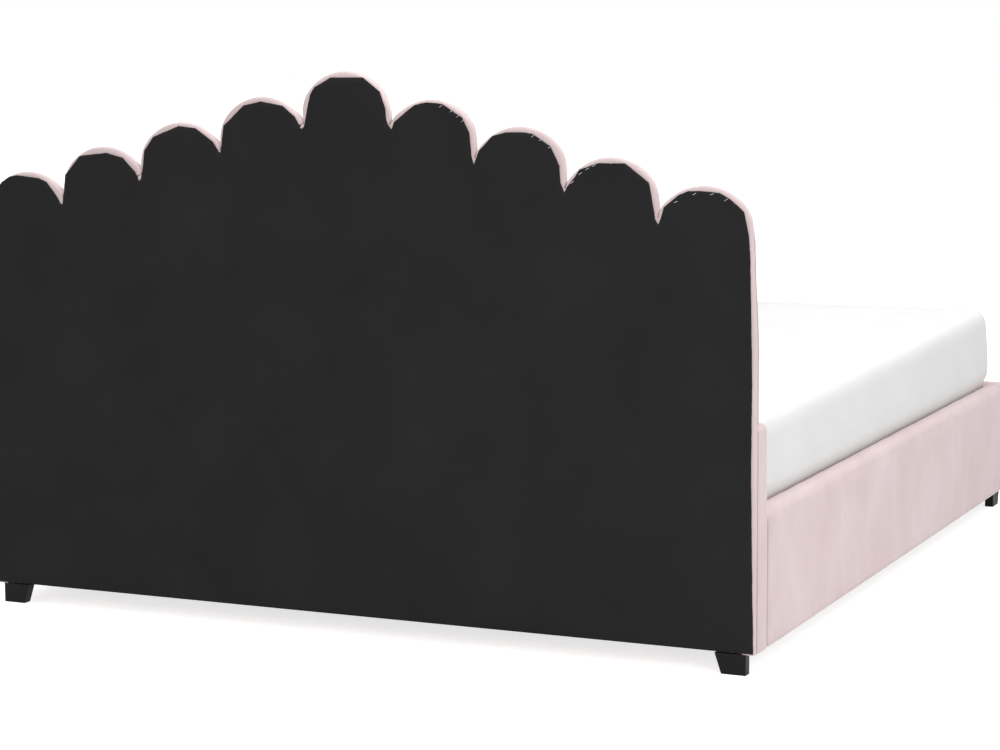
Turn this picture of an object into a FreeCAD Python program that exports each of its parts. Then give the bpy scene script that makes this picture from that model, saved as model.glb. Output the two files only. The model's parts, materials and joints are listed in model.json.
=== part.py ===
import FreeCAD, Part
import math
import os

# A double bed with a padded headboard whose top edge steps up to the middle in round lobes.
# Units are millimetres. +Z is up, the headboard stands at +Y and the foot end at -Y, X runs across
# the bed, and the origin lies on the floor under the middle of the bed.

# ---- driving dimensions ----------------------------------------------------------------------

# the mattress, which the frame is made to fit
mattress_width = 1800.0
mattress_length = 2000.0
mattress_height = 250.0
mattress_side_gap = 4.0
mattress_end_gap = 8.0
mattress_sink = 55.0           # how far its underside lies below the top of the rails
mattress_corner_radius = 55.0
mattress_edge_radius = 24.0

# legs
leg_height = 45.0
leg_width = 70.0
leg_depth = 23.0
leg_taper = 15.0
head_leg_inset = 18.0
foot_leg_inset = 14.0
foot_leg_setback = 2.0

# side rails and footboard: a board inside foam and velvet
rail_height = 290.0
rail_core = 25.0
rail_outer_pad = 15.0
rail_inner_pad = 6.0
rail_top_pad = 8.0
rail_top_round = 12.0
rail_foot_round = 5.0
velvet_wrap = 3.0              # velvet and wadding where they only turn round an edge

# headboard outline
headboard_height = 1260.0
lobe_count = 9
lobe_step = 59.0               # how much higher each lobe is than the next one out
lobe_overlap = 11.5            # how far a lobe's radius passes half the lobe pitch
# headboard build-up, from the back to the front
back_cloth_thickness = 1.0
back_cloth_inset = 7.0         # from the edge of the velvet to the edge of the cloth
back_cloth_drop = 2.0          # how much lower than that the cloth's lobes are cut
velvet_turnover = 1.0          # the velvet that is folded onto the back of the board
velvet_turnover_width = 40.0
board_thickness = 18.0
channel_depth = 45.0
channel_crown_lip = 1.0        # how far in front of a channel's crown its top starts to curve back
channel_gap = 0.8
lower_box_depth = 90.0         # from the very back to the face that the rails meet
lower_box_top = 532.0
lower_box_bolster = 50.0
lower_box_round = 44.0
lower_box_corner_round = 6.0
front_panel_thickness = 6.0
post_depth = 50.0
post_width = 100.0
batten_height = 60.0

# slats and what they lie on
slat_count = 13
slat_width = 53.0
slat_thickness = 8.0
slat_crown = 12.0
slat_end_margin = 108.0
slat_end_gap = 1.0
cap_floor = 3.0
cap_wall = 3.0
cap_pocket_depth = 30.0
cap_pocket_height = 10.0
cap_back = 10.0
centre_cap_web = 24.0
cap_pin_radius = 3.9
cap_pin_length = 9.0
ledge_width = 30.0
ledge_height = 35.0
beam_width = 40.0
beam_height = 40.0
beam_wall = 2.0
beam_end_gap = 2.0
hanger_wall = 3.0
hanger_gap = 0.5
hanger_depth = 40.0
hanger_lip = 24.0
hanger_ear = 22.0

# centre legs with their screw feet
centre_leg_count = 3
centre_leg_radius = 16.0
centre_leg_wall = 1.5
centre_leg_plate = (100.0, 36.0, 3.0)
centre_leg_plug = 20.0
centre_leg_screw_reach = 35.0  # from the middle of the plate to its screws
foot_pad_radius = 22.0
foot_pad_height = 10.0
foot_pad_round = 2.5
foot_stud_radius = 4.0
foot_stud_length = 42.0
foot_screw_room = 15.0         # between the pad and the end of the leg's tube

# corner brackets between the rails and the end boards
bracket_wall = 4.0
bracket_reach = 60.0
bracket_height = 110.0
bracket_foot = 55.0            # above the bottom of the rail
bracket_screw_reach = 42.0     # from the end board to the screws in the rail
bracket_screw_rise = 37.0      # from the middle screw to the one above or below it
bracket_bolt_rise = 27.0       # from the middle of the bracket to a bolt

# fasteners: shank radius, head radius, head height
corner_bolt = (4.0, 8.0, 5.0)
wood_screw = (2.5, 5.0, 3.0)
corner_bolt_length = 58.0
corner_bolt_short = 26.0
insert_nut_radius = 6.5
insert_nut_length = 18.0
bracket_screw_length = 22.0
ledge_screw_length = 46.0
ledge_screw_count = 8
leg_screw_length = 62.0
leg_screw_sink = 10.0
hanger_screw_length = 50.0
hanger_screw_short = 20.0
frame_screw_length = 50.0
centre_leg_screw_length = 12.0

# clearances
seat_gap = 0.3                 # a soft or loose piece above what carries it
hole_gap = 0.2                 # round a fastener's shank or head
stud_gap = 0.08                # round the stud of a screw foot
tip_gap = 1.0                  # past the end of a fastener or pin
cap_gap = 0.8                  # beside a slat in its cap
strip_gap = 2.0                # between the slat caps and the velvet strip above them
cut_past = 5.0                 # how far a cutting shape passes the channel that it cuts

# ---- sizes that follow -----------------------------------------------------------------------

rail_thickness = rail_outer_pad + rail_core + rail_inner_pad
overall_width = mattress_width + 2 * (mattress_side_gap + rail_thickness)
overall_length = mattress_length + 2 * mattress_end_gap + lower_box_depth + rail_thickness
side = overall_width / 2
back = overall_length / 2
front = -overall_length / 2

box_front = back - lower_box_depth
foot_inner = front + rail_thickness
board_back = back - back_cloth_thickness - velvet_turnover
board_front = board_back - board_thickness
post_front = board_front - post_depth
panel_front = post_front - front_panel_thickness

rail_top = leg_height + rail_height
core_bottom = leg_height + velvet_wrap
core_top = rail_top - rail_top_pad
core_outer = side - rail_outer_pad
core_inner = core_outer - rail_core
foot_core_front = front + rail_outer_pad
foot_core_back = foot_core_front + rail_core

mattress_bottom = rail_top - mattress_sink
slat_seat = mattress_bottom - seat_gap - slat_crown - slat_thickness
ledge_top = slat_seat - cap_floor
cap_height = cap_floor + cap_pocket_height + cap_wall
strip_bottom = ledge_top + cap_height + strip_gap
beam_bottom = ledge_top - beam_height

lobe_pitch = (overall_width - 2 * lobe_overlap) / lobe_count
lobe_radius = lobe_pitch / 2 + lobe_overlap
board_lobe_radius = lobe_radius - velvet_wrap
lower_wood_top = lower_box_top - lower_box_bolster

X = FreeCAD.Vector(1, 0, 0)
Y = FreeCAD.Vector(0, 1, 0)
Z = FreeCAD.Vector(0, 0, 1)
ORIGIN = FreeCAD.Vector(0, 0, 0)


# ---- small helpers ---------------------------------------------------------------------------

def vec(x, y, z):
    return FreeCAD.Vector(x, y, z)


def block(x0, x1, y0, y1, z0, z1):
    """A box between two corners."""
    return Part.makeBox(x1 - x0, y1 - y0, z1 - z0, vec(x0, y0, z0))


def mirrored(shape):
    """The same piece on the other side of the bed."""
    return shape.mirror(ORIGIN, X)


def both_sides(places):
    """Fastener places on the +X side, and their mirror images."""
    flip = [(vec(-p.x, p.y, p.z), vec(-d.x, d.y, d.z), n) for p, d, n in places]
    return places + flip


def fastener(place, size):
    """A headed screw or bolt: a place is the point under its head, its direction and its length."""
    point, direction, length = place
    shank_radius, head_radius, head_height = size
    shank = Part.makeCylinder(shank_radius, length, point, direction)
    head = Part.makeCylinder(head_radius, head_height, point, -direction)
    return shank.fuse(head).removeSplitter()


def fasteners(places, size):
    """All the fasteners of one kind, as separate solids."""
    return Part.makeCompound([fastener(place, size) for place in places])


def drilled(shape, places, size):
    """The shape with a clearance hole for each fastener that passes through it."""
    shank_radius, head_radius, head_height = size
    tools = []
    for point, direction, length in places:
        hole = Part.makeCylinder(shank_radius + hole_gap, length + tip_gap, point, direction)
        sink = Part.makeCylinder(head_radius + hole_gap, head_height + tip_gap, point, -direction)
        tools += [hole, sink]
    return shape.cut(Part.makeCompound(tools))


def rounded(shape, radius, chosen):
    """The shape with one radius on every edge for which chosen(edge) is true."""
    edges = [edge for edge in shape.Edges if chosen(edge)]
    return shape.makeFillet(radius, edges)


def runs_along(edge, axis):
    """Whether a straight edge is parallel to an axis."""
    if edge.Curve.TypeId != "Part::GeomLine":
        return False
    return abs(edge.tangentAt(edge.FirstParameter).dot(axis)) > 0.999


def at(edge, **near):
    """Whether an edge's middle has the given coordinates."""
    middle = edge.CenterOfMass
    return all(abs(getattr(middle, name) - value) < 0.01 for name, value in near.items())


# ---- headboard -------------------------------------------------------------------------------

def lobe_centre(index):
    """X and Z of the centre of a lobe's round top, on the outer velvet."""
    steps_out = abs(index - (lobe_count - 1) / 2)
    x = (index - (lobe_count - 1) / 2) * lobe_pitch
    return x, headboard_height - steps_out * lobe_step - lobe_radius


def lobed_panel(radius, bottom, y0, y1, drop=0.0):
    """A flat panel with the lobed outline, its lobes of the given radius lowered by drop."""
    reach = lobe_pitch - radius
    rise = math.sqrt(radius ** 2 - reach ** 2)
    points = []
    arcs = []
    for index in range(lobe_count):
        x, z = lobe_centre(index)
        z -= drop
        left = vec(x - radius, y0, z)
        right = vec(x + radius, y0, z)
        if index > 0 and lobe_centre(index - 1)[1] > lobe_centre(index)[1]:
            left = vec(x - reach, y0, z + rise)
        if index < lobe_count - 1 and lobe_centre(index + 1)[1] > lobe_centre(index)[1]:
            right = vec(x + reach, y0, z + rise)
        arcs.append(Part.Arc(left, vec(x, y0, z + radius), right).toShape())
        points.append((left, right))
    first = points[0][0]
    last = points[-1][1]
    edges = []
    for index, arc in enumerate(arcs):
        edges.append(arc)
        if index < lobe_count - 1:
            edges.append(Part.makeLine(points[index][1], points[index + 1][0]))
    low_right = vec(last.x, y0, bottom)
    low_left = vec(first.x, y0, bottom)
    edges.append(Part.makeLine(last, low_right))
    edges.append(Part.makeLine(low_right, low_left))
    edges.append(Part.makeLine(low_left, first))
    face = Part.Face(Part.Wire(edges))
    return face.extrude(vec(0, y1 - y0, 0))


def notch_height(index):
    """Z of the notch on the outer side of a lobe, or of its shoulder at the outermost lobes."""
    outer = index - 1 if index <= (lobe_count - 1) / 2 else index + 1
    if outer < 0 or outer >= lobe_count:
        return lobe_centre(index)[1]
    reach = lobe_pitch - lobe_radius
    return lobe_centre(outer)[1] + math.sqrt(lobe_radius ** 2 - reach ** 2)


def headboard_board():
    board = lobed_panel(board_lobe_radius, core_bottom, board_front, board_back)
    board = drilled(board, frame_screw_places(), wood_screw)
    return drilled(board, head_leg_screw_places(), wood_screw)


def headboard_edge_wrap():
    """Velvet round the edge of the board, and turned over onto its back."""
    skin_back = board_back + velvet_turnover
    outer = lobed_panel(lobe_radius, leg_height, board_front, skin_back)
    core = lobed_panel(board_lobe_radius, core_bottom, board_front, board_back)
    wrap = outer.cut(core)
    inner_side = side - velvet_turnover_width
    for index in range(lobe_count):
        middle = lobe_centre(index)[0]
        low = leg_height + velvet_turnover_width
        window = block(
            max(middle - lobe_pitch / 2, -inner_side),
            min(middle + lobe_pitch / 2, inner_side),
            board_back, skin_back, low, notch_height(index) - velvet_turnover_width)
        wrap = wrap.cut(window)
    return drilled(wrap, head_leg_screw_places(), wood_screw)


def back_cloth():
    """The dust cloth that closes the back."""
    radius = lobe_radius - back_cloth_inset
    return lobed_panel(radius, core_bottom, back - back_cloth_thickness, back, back_cloth_drop)


def channel_span(index):
    """The seams at both sides of a channel: each runs straight down from a notch."""
    x = lobe_centre(index)[0]
    low = x - lobe_radius
    high = x + lobe_radius
    if index < (lobe_count - 1) / 2:
        high = lobe_centre(index + 1)[0] - lobe_radius
    if index > (lobe_count - 1) / 2:
        low = lobe_centre(index - 1)[0] + lobe_radius
    return low + channel_gap / 2, high - channel_gap / 2


def channel_pad(index):
    """One upright padded channel: a flat back, a round front and a top that curves back."""
    x, z = lobe_centre(index)
    low_x, high_x = channel_span(index)
    rear = board_front - seat_gap
    crown = rear - channel_depth
    low = lower_box_top + seat_gap
    top = z + lobe_radius

    left = vec(low_x, rear, low)
    right = vec(high_x, rear, low)
    bow = Part.Arc(left, vec((low_x + high_x) / 2, crown, low), right).toShape()
    plan = Part.Face(Part.Wire([bow, Part.makeLine(right, left)]))
    shaft = plan.extrude(vec(0, 0, top - low))

    before = crown - channel_crown_lip
    past = rear + cut_past
    curve_depth = rear - before
    curve_radius = (lobe_radius ** 2 + curve_depth ** 2) / (2 * curve_depth)
    half_turn = math.asin(lobe_radius / curve_radius) / 2
    edge_x = low_x - cut_past
    start = vec(edge_x, before, z)
    bend_y = before + curve_radius * (1 - math.cos(half_turn))
    bend = vec(edge_x, bend_y, z + curve_radius * math.sin(half_turn))
    peak = vec(edge_x, rear, top)
    corners = [
        peak, vec(edge_x, past, top), vec(edge_x, past, low - cut_past),
        vec(edge_x, before, low - cut_past), start]
    sides = [Part.makeLine(one, two) for one, two in zip(corners, corners[1:])]
    profile = Part.Wire(sides + [Part.Arc(start, bend, peak).toShape()])
    curved = Part.Face(profile).extrude(vec(high_x - low_x + 2 * cut_past, 0, 0))

    disc = Part.makeCylinder(lobe_radius, past - before, vec(x, before, z), Y)
    below = block(x - lobe_radius, x + lobe_radius, before, past, low - cut_past, z)
    outline = disc.fuse(below).removeSplitter()
    return shaft.common(outline).common(curved).removeSplitter().Solids[0]


def lower_cover():
    """Foam and velvet over the box that carries the rails, with a soft round top edge."""
    cover = block(-side, side, box_front, board_front, leg_height, lower_box_top)
    cover = rounded(
        cover, lower_box_round,
        lambda e: runs_along(e, X) and at(e, y=box_front, z=lower_box_top))
    cover = rounded(
        cover, lower_box_corner_round,
        lambda e: runs_along(e, Z) and at(e, y=box_front))
    wood = block(-side + velvet_wrap, side - velvet_wrap, panel_front, board_front, 0, lower_wood_top)
    cover = cover.cut(wood)
    cover = drilled(cover, head_bolt_places(), corner_bolt)
    return drilled(cover, head_hanger_screw_places(), wood_screw)


def front_panel():
    panel = block(
        -side + velvet_wrap, side - velvet_wrap, panel_front, post_front, core_bottom, lower_wood_top)
    panel = drilled(panel, head_bolt_places(), corner_bolt)
    return drilled(panel, head_hanger_screw_places(), wood_screw)


def side_post():
    """The upright at the +X end of the lower box, which takes the corner bolts."""
    outer = side - velvet_wrap
    post = block(outer - post_width, outer, post_front, board_front, core_bottom, lower_wood_top)
    post = drilled(post, head_bolt_places(), corner_bolt)
    post = post.cut(insert_nut_blanks(head_bolt_places()))
    return drilled(post, frame_screw_places(), wood_screw)


def centre_post():
    low = core_bottom + batten_height
    high = lower_wood_top - batten_height
    post = block(-post_width / 2, post_width / 2, post_front, board_front, low, high)
    post = drilled(post, head_hanger_screw_places(), wood_screw)
    return drilled(post, frame_screw_places(), wood_screw)


def batten(low):
    """A cross batten of the lower box, between its side posts."""
    reach = side - velvet_wrap - post_width
    bar = block(-reach, reach, post_front, board_front, low, low + batten_height)
    return drilled(bar, frame_screw_places(), wood_screw)


# ---- rails and footboard ---------------------------------------------------------------------

def rail_board():
    """The board inside the +X side rail."""
    board = block(core_inner, core_outer, foot_inner, box_front, core_bottom, core_top)
    board = drilled(board, bracket_screw_places(), wood_screw)
    board = drilled(board, ledge_screw_places(), wood_screw)
    return drilled(board, foot_leg_screw_places(), wood_screw)


def rail_cover():
    """Foam and velvet over the +X rail, turned in over its top as far as the slats."""
    inner = side - rail_thickness
    cover = block(inner, side, foot_inner, box_front, leg_height, rail_top)
    cover = rounded(cover, rail_top_round, lambda e: runs_along(e, Y) and at(e, x=side, z=rail_top))
    cover = rounded(
        cover, rail_foot_round,
        lambda e: runs_along(e, Y) and (at(e, x=side, z=leg_height) or at(e, x=inner, z=rail_top)))
    core = block(core_inner, core_outer, foot_inner, box_front, core_bottom, core_top)
    bare = block(inner, core_inner, foot_inner, box_front, leg_height, strip_bottom)
    cover = cover.cut(Part.makeCompound([core, bare]))
    return drilled(cover, foot_leg_screw_places(), wood_screw)


def footboard_board():
    reach = side - velvet_wrap
    board = block(-reach, reach, foot_core_front, foot_core_back, core_bottom, core_top)
    board = drilled(board, foot_bolt_places(), corner_bolt)
    board = board.cut(insert_nut_blanks(foot_bolt_places()))
    board = drilled(board, foot_hanger_screw_places(), wood_screw)
    return drilled(board, foot_leg_screw_places(), wood_screw)


def footboard_cover():
    cover = block(-side, side, front, foot_inner, leg_height, rail_top)
    cover = rounded(cover, rail_top_round, lambda e: at(e, y=front, z=rail_top))
    cover = rounded(
        cover, rail_foot_round,
        lambda e: runs_along(e, Z) and at(e, y=front) or runs_along(e, X) and at(e, y=front, z=leg_height))
    reach = side - velvet_wrap
    core = block(-reach, reach, foot_core_front, foot_core_back, core_bottom, core_top)
    bare = block(-core_inner, core_inner, foot_core_back, foot_inner, leg_height, strip_bottom)
    cover = cover.cut(Part.makeCompound([core, bare]))
    return drilled(cover, foot_leg_screw_places(), wood_screw)


# ---- legs ------------------------------------------------------------------------------------

def tapered_leg():
    """A flat block leg along +X from the origin, upright at X = leg_width and leaning at X = 0."""
    corners = [
        vec(leg_taper, 0, 0), vec(leg_width, 0, 0), vec(leg_width, 0, leg_height), vec(0, 0, leg_height)]
    face = Part.Face(Part.makePolygon(corners + corners[:1]))
    return face.extrude(vec(0, leg_depth, 0))


def head_leg():
    """The +X leg under the headboard, flush with its back."""
    leg = tapered_leg()
    leg.translate(vec(side - head_leg_inset - leg_width, back - leg_depth, 0))
    return drilled(leg, head_leg_screw_places(), wood_screw)


def foot_leg():
    """The +X leg under the foot corner, turned to lie along the rail."""
    leg = tapered_leg()
    leg.rotate(ORIGIN, Z, 90)
    leg.translate(vec(side - foot_leg_inset, front + foot_leg_setback, 0))
    return drilled(leg, foot_leg_screw_places(), wood_screw)


def head_leg_screw_places():
    y = (board_front + board_back) / 2
    outer = side - head_leg_inset
    xs = (outer - leg_width / 4, outer - leg_width / 2)
    return both_sides([(vec(x, y, leg_screw_sink), Z, leg_screw_length) for x in xs])


def foot_leg_screw_places():
    x = (core_inner + core_outer) / 2
    under_footboard = (foot_core_front + foot_core_back) / 2
    under_rail = front + foot_leg_setback + leg_width - leg_depth / 2
    ys = (under_footboard, under_rail)
    return both_sides([(vec(x, y, leg_screw_sink), Z, leg_screw_length) for y in ys])


# ---- corner brackets -------------------------------------------------------------------------

bracket_low = leg_height + bracket_foot
bracket_high = bracket_low + bracket_height
bracket_middle = (bracket_low + bracket_high) / 2
bracket_bolt_heights = (bracket_middle - bracket_bolt_rise, bracket_middle + bracket_bolt_rise)


def corner_bracket(face_y, inward):
    """An angle that ties the +X rail to an end board whose face is at face_y; inward is +1 or -1 in Y."""
    wall = inward * bracket_wall
    reach = inward * bracket_reach
    ys = sorted((face_y, face_y + reach))
    along = block(core_inner - bracket_wall, core_inner, ys[0], ys[1], bracket_low, bracket_high)
    ys = sorted((face_y, face_y + wall))
    across = block(core_inner - bracket_reach, core_inner, ys[0], ys[1], bracket_low, bracket_high)
    angle = along.fuse(across).removeSplitter()
    angle = drilled(angle, head_bolt_places() + foot_bolt_places(), corner_bolt)
    return drilled(angle, bracket_screw_places(), wood_screw)


def head_bolt_places():
    x = core_inner - bracket_reach / 2
    y = box_front - bracket_wall
    return both_sides([(vec(x, y, z), Y, corner_bolt_length) for z in bracket_bolt_heights])


def foot_bolt_places():
    x = core_inner - bracket_reach / 2
    y = foot_core_back + bracket_wall
    return both_sides([(vec(x, y, z), -Y, corner_bolt_short) for z in bracket_bolt_heights])


def bracket_screw_places():
    x = core_inner - bracket_wall
    heights = (bracket_middle - bracket_screw_rise, bracket_middle, bracket_middle + bracket_screw_rise)
    ys = (box_front - bracket_screw_reach, foot_core_back + bracket_screw_reach)
    return both_sides([(vec(x, y, z), X, bracket_screw_length) for y in ys for z in heights])


def insert_nut_span(place):
    """Where the threaded insert of a corner bolt starts; it ends level with the bolt's tip."""
    point, direction, length = place
    return point + direction * (length - insert_nut_length)


def insert_nut_blanks(places):
    """Solid plugs where the inserts go, with room past their ends."""
    blanks = []
    for place in places:
        start = insert_nut_span(place)
        blanks.append(Part.makeCylinder(
            insert_nut_radius + hole_gap, insert_nut_length + tip_gap, start, place[1]))
    return Part.makeCompound(blanks)


def insert_nuts():
    nuts = []
    for place in head_bolt_places() + foot_bolt_places():
        start = insert_nut_span(place)
        nut = Part.makeCylinder(insert_nut_radius, insert_nut_length, start, place[1])
        bore = Part.makeCylinder(corner_bolt[0] + stud_gap, insert_nut_length, start, place[1])
        nuts.append(nut.cut(bore))
    return Part.makeCompound(nuts)


def frame_screw_places():
    """Screws from the back of the board into the posts and battens, with their heads let in."""
    y = board_back - wood_screw[2]
    low = core_bottom + batten_height / 2
    high = lower_wood_top - batten_height / 2
    post_x = side - velvet_wrap - post_width / 2
    batten_x = post_x / 3
    middle = (low + high) / 2
    spots = [(post_x, low), (post_x, middle), (post_x, high)]
    spots += [(batten_x * n, z) for n in (1, 2) for z in (low, high)]
    places = both_sides([(vec(x, y, z), -Y, frame_screw_length) for x, z in spots])
    quarter = (high - low) / 4
    return places + [(vec(0, y, z), -Y, frame_screw_length) for z in (middle - quarter, middle + quarter)]


# ---- slats, ledges and beam ------------------------------------------------------------------

def slat_ys():
    start = foot_inner + slat_end_margin
    pitch = (box_front - slat_end_margin - start) / (slat_count - 1)
    return [start + pitch * index for index in range(slat_count)]


ledge_inner = core_inner - ledge_width
outer_cap_outer = core_inner - strip_gap
outer_cap_inner = outer_cap_outer - cap_back - cap_pocket_depth
slat_outer = outer_cap_outer - cap_back - slat_end_gap
slat_inner = centre_cap_web / 2 + slat_end_gap
cap_pin_x = outer_cap_outer - cap_back / 2


def slat(y):
    """A sprung slat: a strip of bent plywood that bows up between its ends."""
    middle = (slat_inner + slat_outer) / 2
    y0 = y - slat_width / 2

    def bow(lift):
        low = slat_seat + lift
        return Part.Arc(
            vec(slat_inner, y0, low), vec(middle, y0, low + slat_crown), vec(slat_outer, y0, low)).toShape()

    under = bow(0.0)
    over = bow(slat_thickness)
    ends = [
        Part.makeLine(vec(x, y0, slat_seat), vec(x, y0, slat_seat + slat_thickness))
        for x in (slat_inner, slat_outer)]
    wire = Part.Wire(Part.__sortEdges__([under, over] + ends))
    return Part.Face(wire).extrude(vec(0, slat_width, 0))


def cap_body(x0, x1, y):
    half = slat_width / 2 + cap_gap + cap_wall
    return block(x0, x1, y - half, y + half, ledge_top, ledge_top + cap_height)


def cap_pocket(x0, x1, y):
    half = slat_width / 2 + cap_gap
    return block(x0, x1, y - half, y + half, slat_seat - seat_gap, slat_seat + cap_pocket_height)


def cap_pins(x, ys, radius, length):
    tools = [Part.makeCylinder(radius, length, vec(x, y, ledge_top), -Z) for y in ys]
    return Part.makeCompound(tools)


def outer_cap(y):
    """The plastic holder of a slat's outer end, with the pin that sets it on the ledge."""
    cap = cap_body(outer_cap_inner, outer_cap_outer, y)
    cap = cap.cut(cap_pocket(outer_cap_inner, outer_cap_outer - cap_back, y))
    pin = cap_pins(cap_pin_x, [y], cap_pin_radius, cap_pin_length)
    return cap.fuse(pin).removeSplitter().Solids[0]


def centre_cap(y):
    """The double holder on the beam, one pocket for each row."""
    web = centre_cap_web / 2
    reach = web + cap_pocket_depth
    cap = cap_body(-reach, reach, y)
    cap = cap.cut(cap_pocket(web, reach, y))
    cap = cap.cut(cap_pocket(-reach, -web, y))
    pin = cap_pins(0, [y], cap_pin_radius, cap_pin_length)
    return cap.fuse(pin).removeSplitter().Solids[0]


def slat_ledge():
    """The timber ledge along the +X rail."""
    ledge = block(
        ledge_inner, core_inner, foot_core_back, box_front, ledge_top - ledge_height, ledge_top)
    ledge = drilled(ledge, ledge_screw_places(), wood_screw)
    return ledge.cut(cap_pins(cap_pin_x, slat_ys(), cap_pin_radius + hole_gap, cap_pin_length + tip_gap))


def ledge_screw_places():
    z = ledge_top - ledge_height / 2
    margin = slat_end_margin / 2
    step = (box_front - foot_inner - 2 * margin) / (ledge_screw_count - 1)
    ys = [foot_inner + margin + step * n for n in range(ledge_screw_count)]
    return both_sides([(vec(ledge_inner, y, z), X, ledge_screw_length) for y in ys])


beam_foot_end = foot_core_back + hanger_wall + beam_end_gap
beam_head_end = box_front - hanger_wall - beam_end_gap


def centre_beam():
    """The steel tube under the middle of the slats."""
    half = beam_width / 2
    tube = block(-half, half, beam_foot_end, beam_head_end, beam_bottom, ledge_top)
    hollow = block(
        -half + beam_wall, half - beam_wall, beam_foot_end, beam_head_end,
        beam_bottom + beam_wall, ledge_top - beam_wall)
    tube = tube.cut(hollow)
    tube = tube.cut(cap_pins(0, slat_ys(), cap_pin_radius + hole_gap, cap_pin_length + tip_gap))
    return drilled(tube, centre_leg_screw_places(), wood_screw)


def beam_hanger(face_y, inward):
    """The steel saddle that holds one end of the beam; inward is +1 or -1 in Y."""
    half = beam_width / 2 + hanger_gap
    low = beam_bottom - seat_gap
    ys = sorted((face_y, face_y + inward * hanger_depth))
    saddle = block(
        -half - hanger_wall, half + hanger_wall, ys[0], ys[1], low - hanger_wall, low + hanger_lip)
    room = block(-half, half, ys[0], ys[1], low, low + hanger_lip)
    saddle = saddle.cut(room)
    ys = sorted((face_y, face_y + inward * hanger_wall))
    ear = half + hanger_wall + hanger_ear
    plate = block(-ear, ear, ys[0], ys[1], low - hanger_wall, low + hanger_lip)
    hanger = saddle.fuse(plate).removeSplitter()
    return drilled(hanger, head_hanger_screw_places() + foot_hanger_screw_places(), wood_screw)


def hanger_screw_places(y, direction, length):
    x = beam_width / 2 + hanger_gap + hanger_wall + hanger_ear / 2
    z = beam_bottom + hanger_lip / 2
    return both_sides([(vec(x, y, z), direction, length)])


def head_hanger_screw_places():
    return hanger_screw_places(box_front - hanger_wall, Y, hanger_screw_length)


def foot_hanger_screw_places():
    return hanger_screw_places(foot_core_back + hanger_wall, -Y, hanger_screw_short)


# ---- centre legs and screw feet --------------------------------------------------------------

def centre_leg_ys():
    span = beam_head_end - beam_foot_end
    return [beam_foot_end + span * (n + 1) / (centre_leg_count + 1) for n in range(centre_leg_count)]


centre_leg_bottom = foot_pad_height + foot_screw_room


def centre_leg(y):
    """A round steel leg: a plate under the beam, a tube and a threaded plug in its end."""
    length, width, wall = centre_leg_plate
    plate = block(-width / 2, width / 2, y - length / 2, y + length / 2, beam_bottom - wall, beam_bottom)
    tube_height = beam_bottom - wall - centre_leg_bottom
    tube = Part.makeCylinder(centre_leg_radius, tube_height, vec(0, y, centre_leg_bottom))
    hollow = Part.makeCylinder(
        centre_leg_radius - centre_leg_wall, tube_height - centre_leg_plug,
        vec(0, y, centre_leg_bottom + centre_leg_plug))
    bore = Part.makeCylinder(foot_stud_radius + stud_gap, centre_leg_plug, vec(0, y, centre_leg_bottom))
    tube = tube.cut(hollow).cut(bore)
    leg = plate.fuse(tube).removeSplitter()
    return drilled(leg, centre_leg_screw_places(), wood_screw)


def centre_leg_screw_places():
    z = beam_bottom - centre_leg_plate[2]
    return [
        (vec(0, y + way * centre_leg_screw_reach, z), Z, centre_leg_screw_length)
        for y in centre_leg_ys() for way in (-1, 1)]


def levelling_foot(y):
    """A screw foot: a round pad with the stud that turns in the leg's plug."""
    pad = Part.makeCylinder(foot_pad_radius, foot_pad_height, vec(0, y, 0))
    pad = rounded(pad, foot_pad_round, lambda e: at(e, z=foot_pad_height))
    stud = Part.makeCylinder(foot_stud_radius, foot_stud_length, vec(0, y, foot_pad_height))
    return pad.fuse(stud).removeSplitter()


# ---- mattress --------------------------------------------------------------------------------

def mattress():
    half = mattress_width / 2
    head_end = box_front - mattress_end_gap
    foot_end = foot_inner + mattress_end_gap
    body = block(-half, half, foot_end, head_end, mattress_bottom, mattress_bottom + mattress_height)
    body = rounded(body, mattress_corner_radius, lambda e: runs_along(e, Z))
    flat = (mattress_bottom, mattress_bottom + mattress_height)
    return rounded(body, mattress_edge_radius, lambda e: any(at(e, z=z) for z in flat))


# ---- every node ------------------------------------------------------------------------------

def pair(name, shape):
    """The +X piece as the right one and its mirror image as the left one."""
    return {name + "_right": shape, name + "_left": mirrored(shape)}


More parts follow.
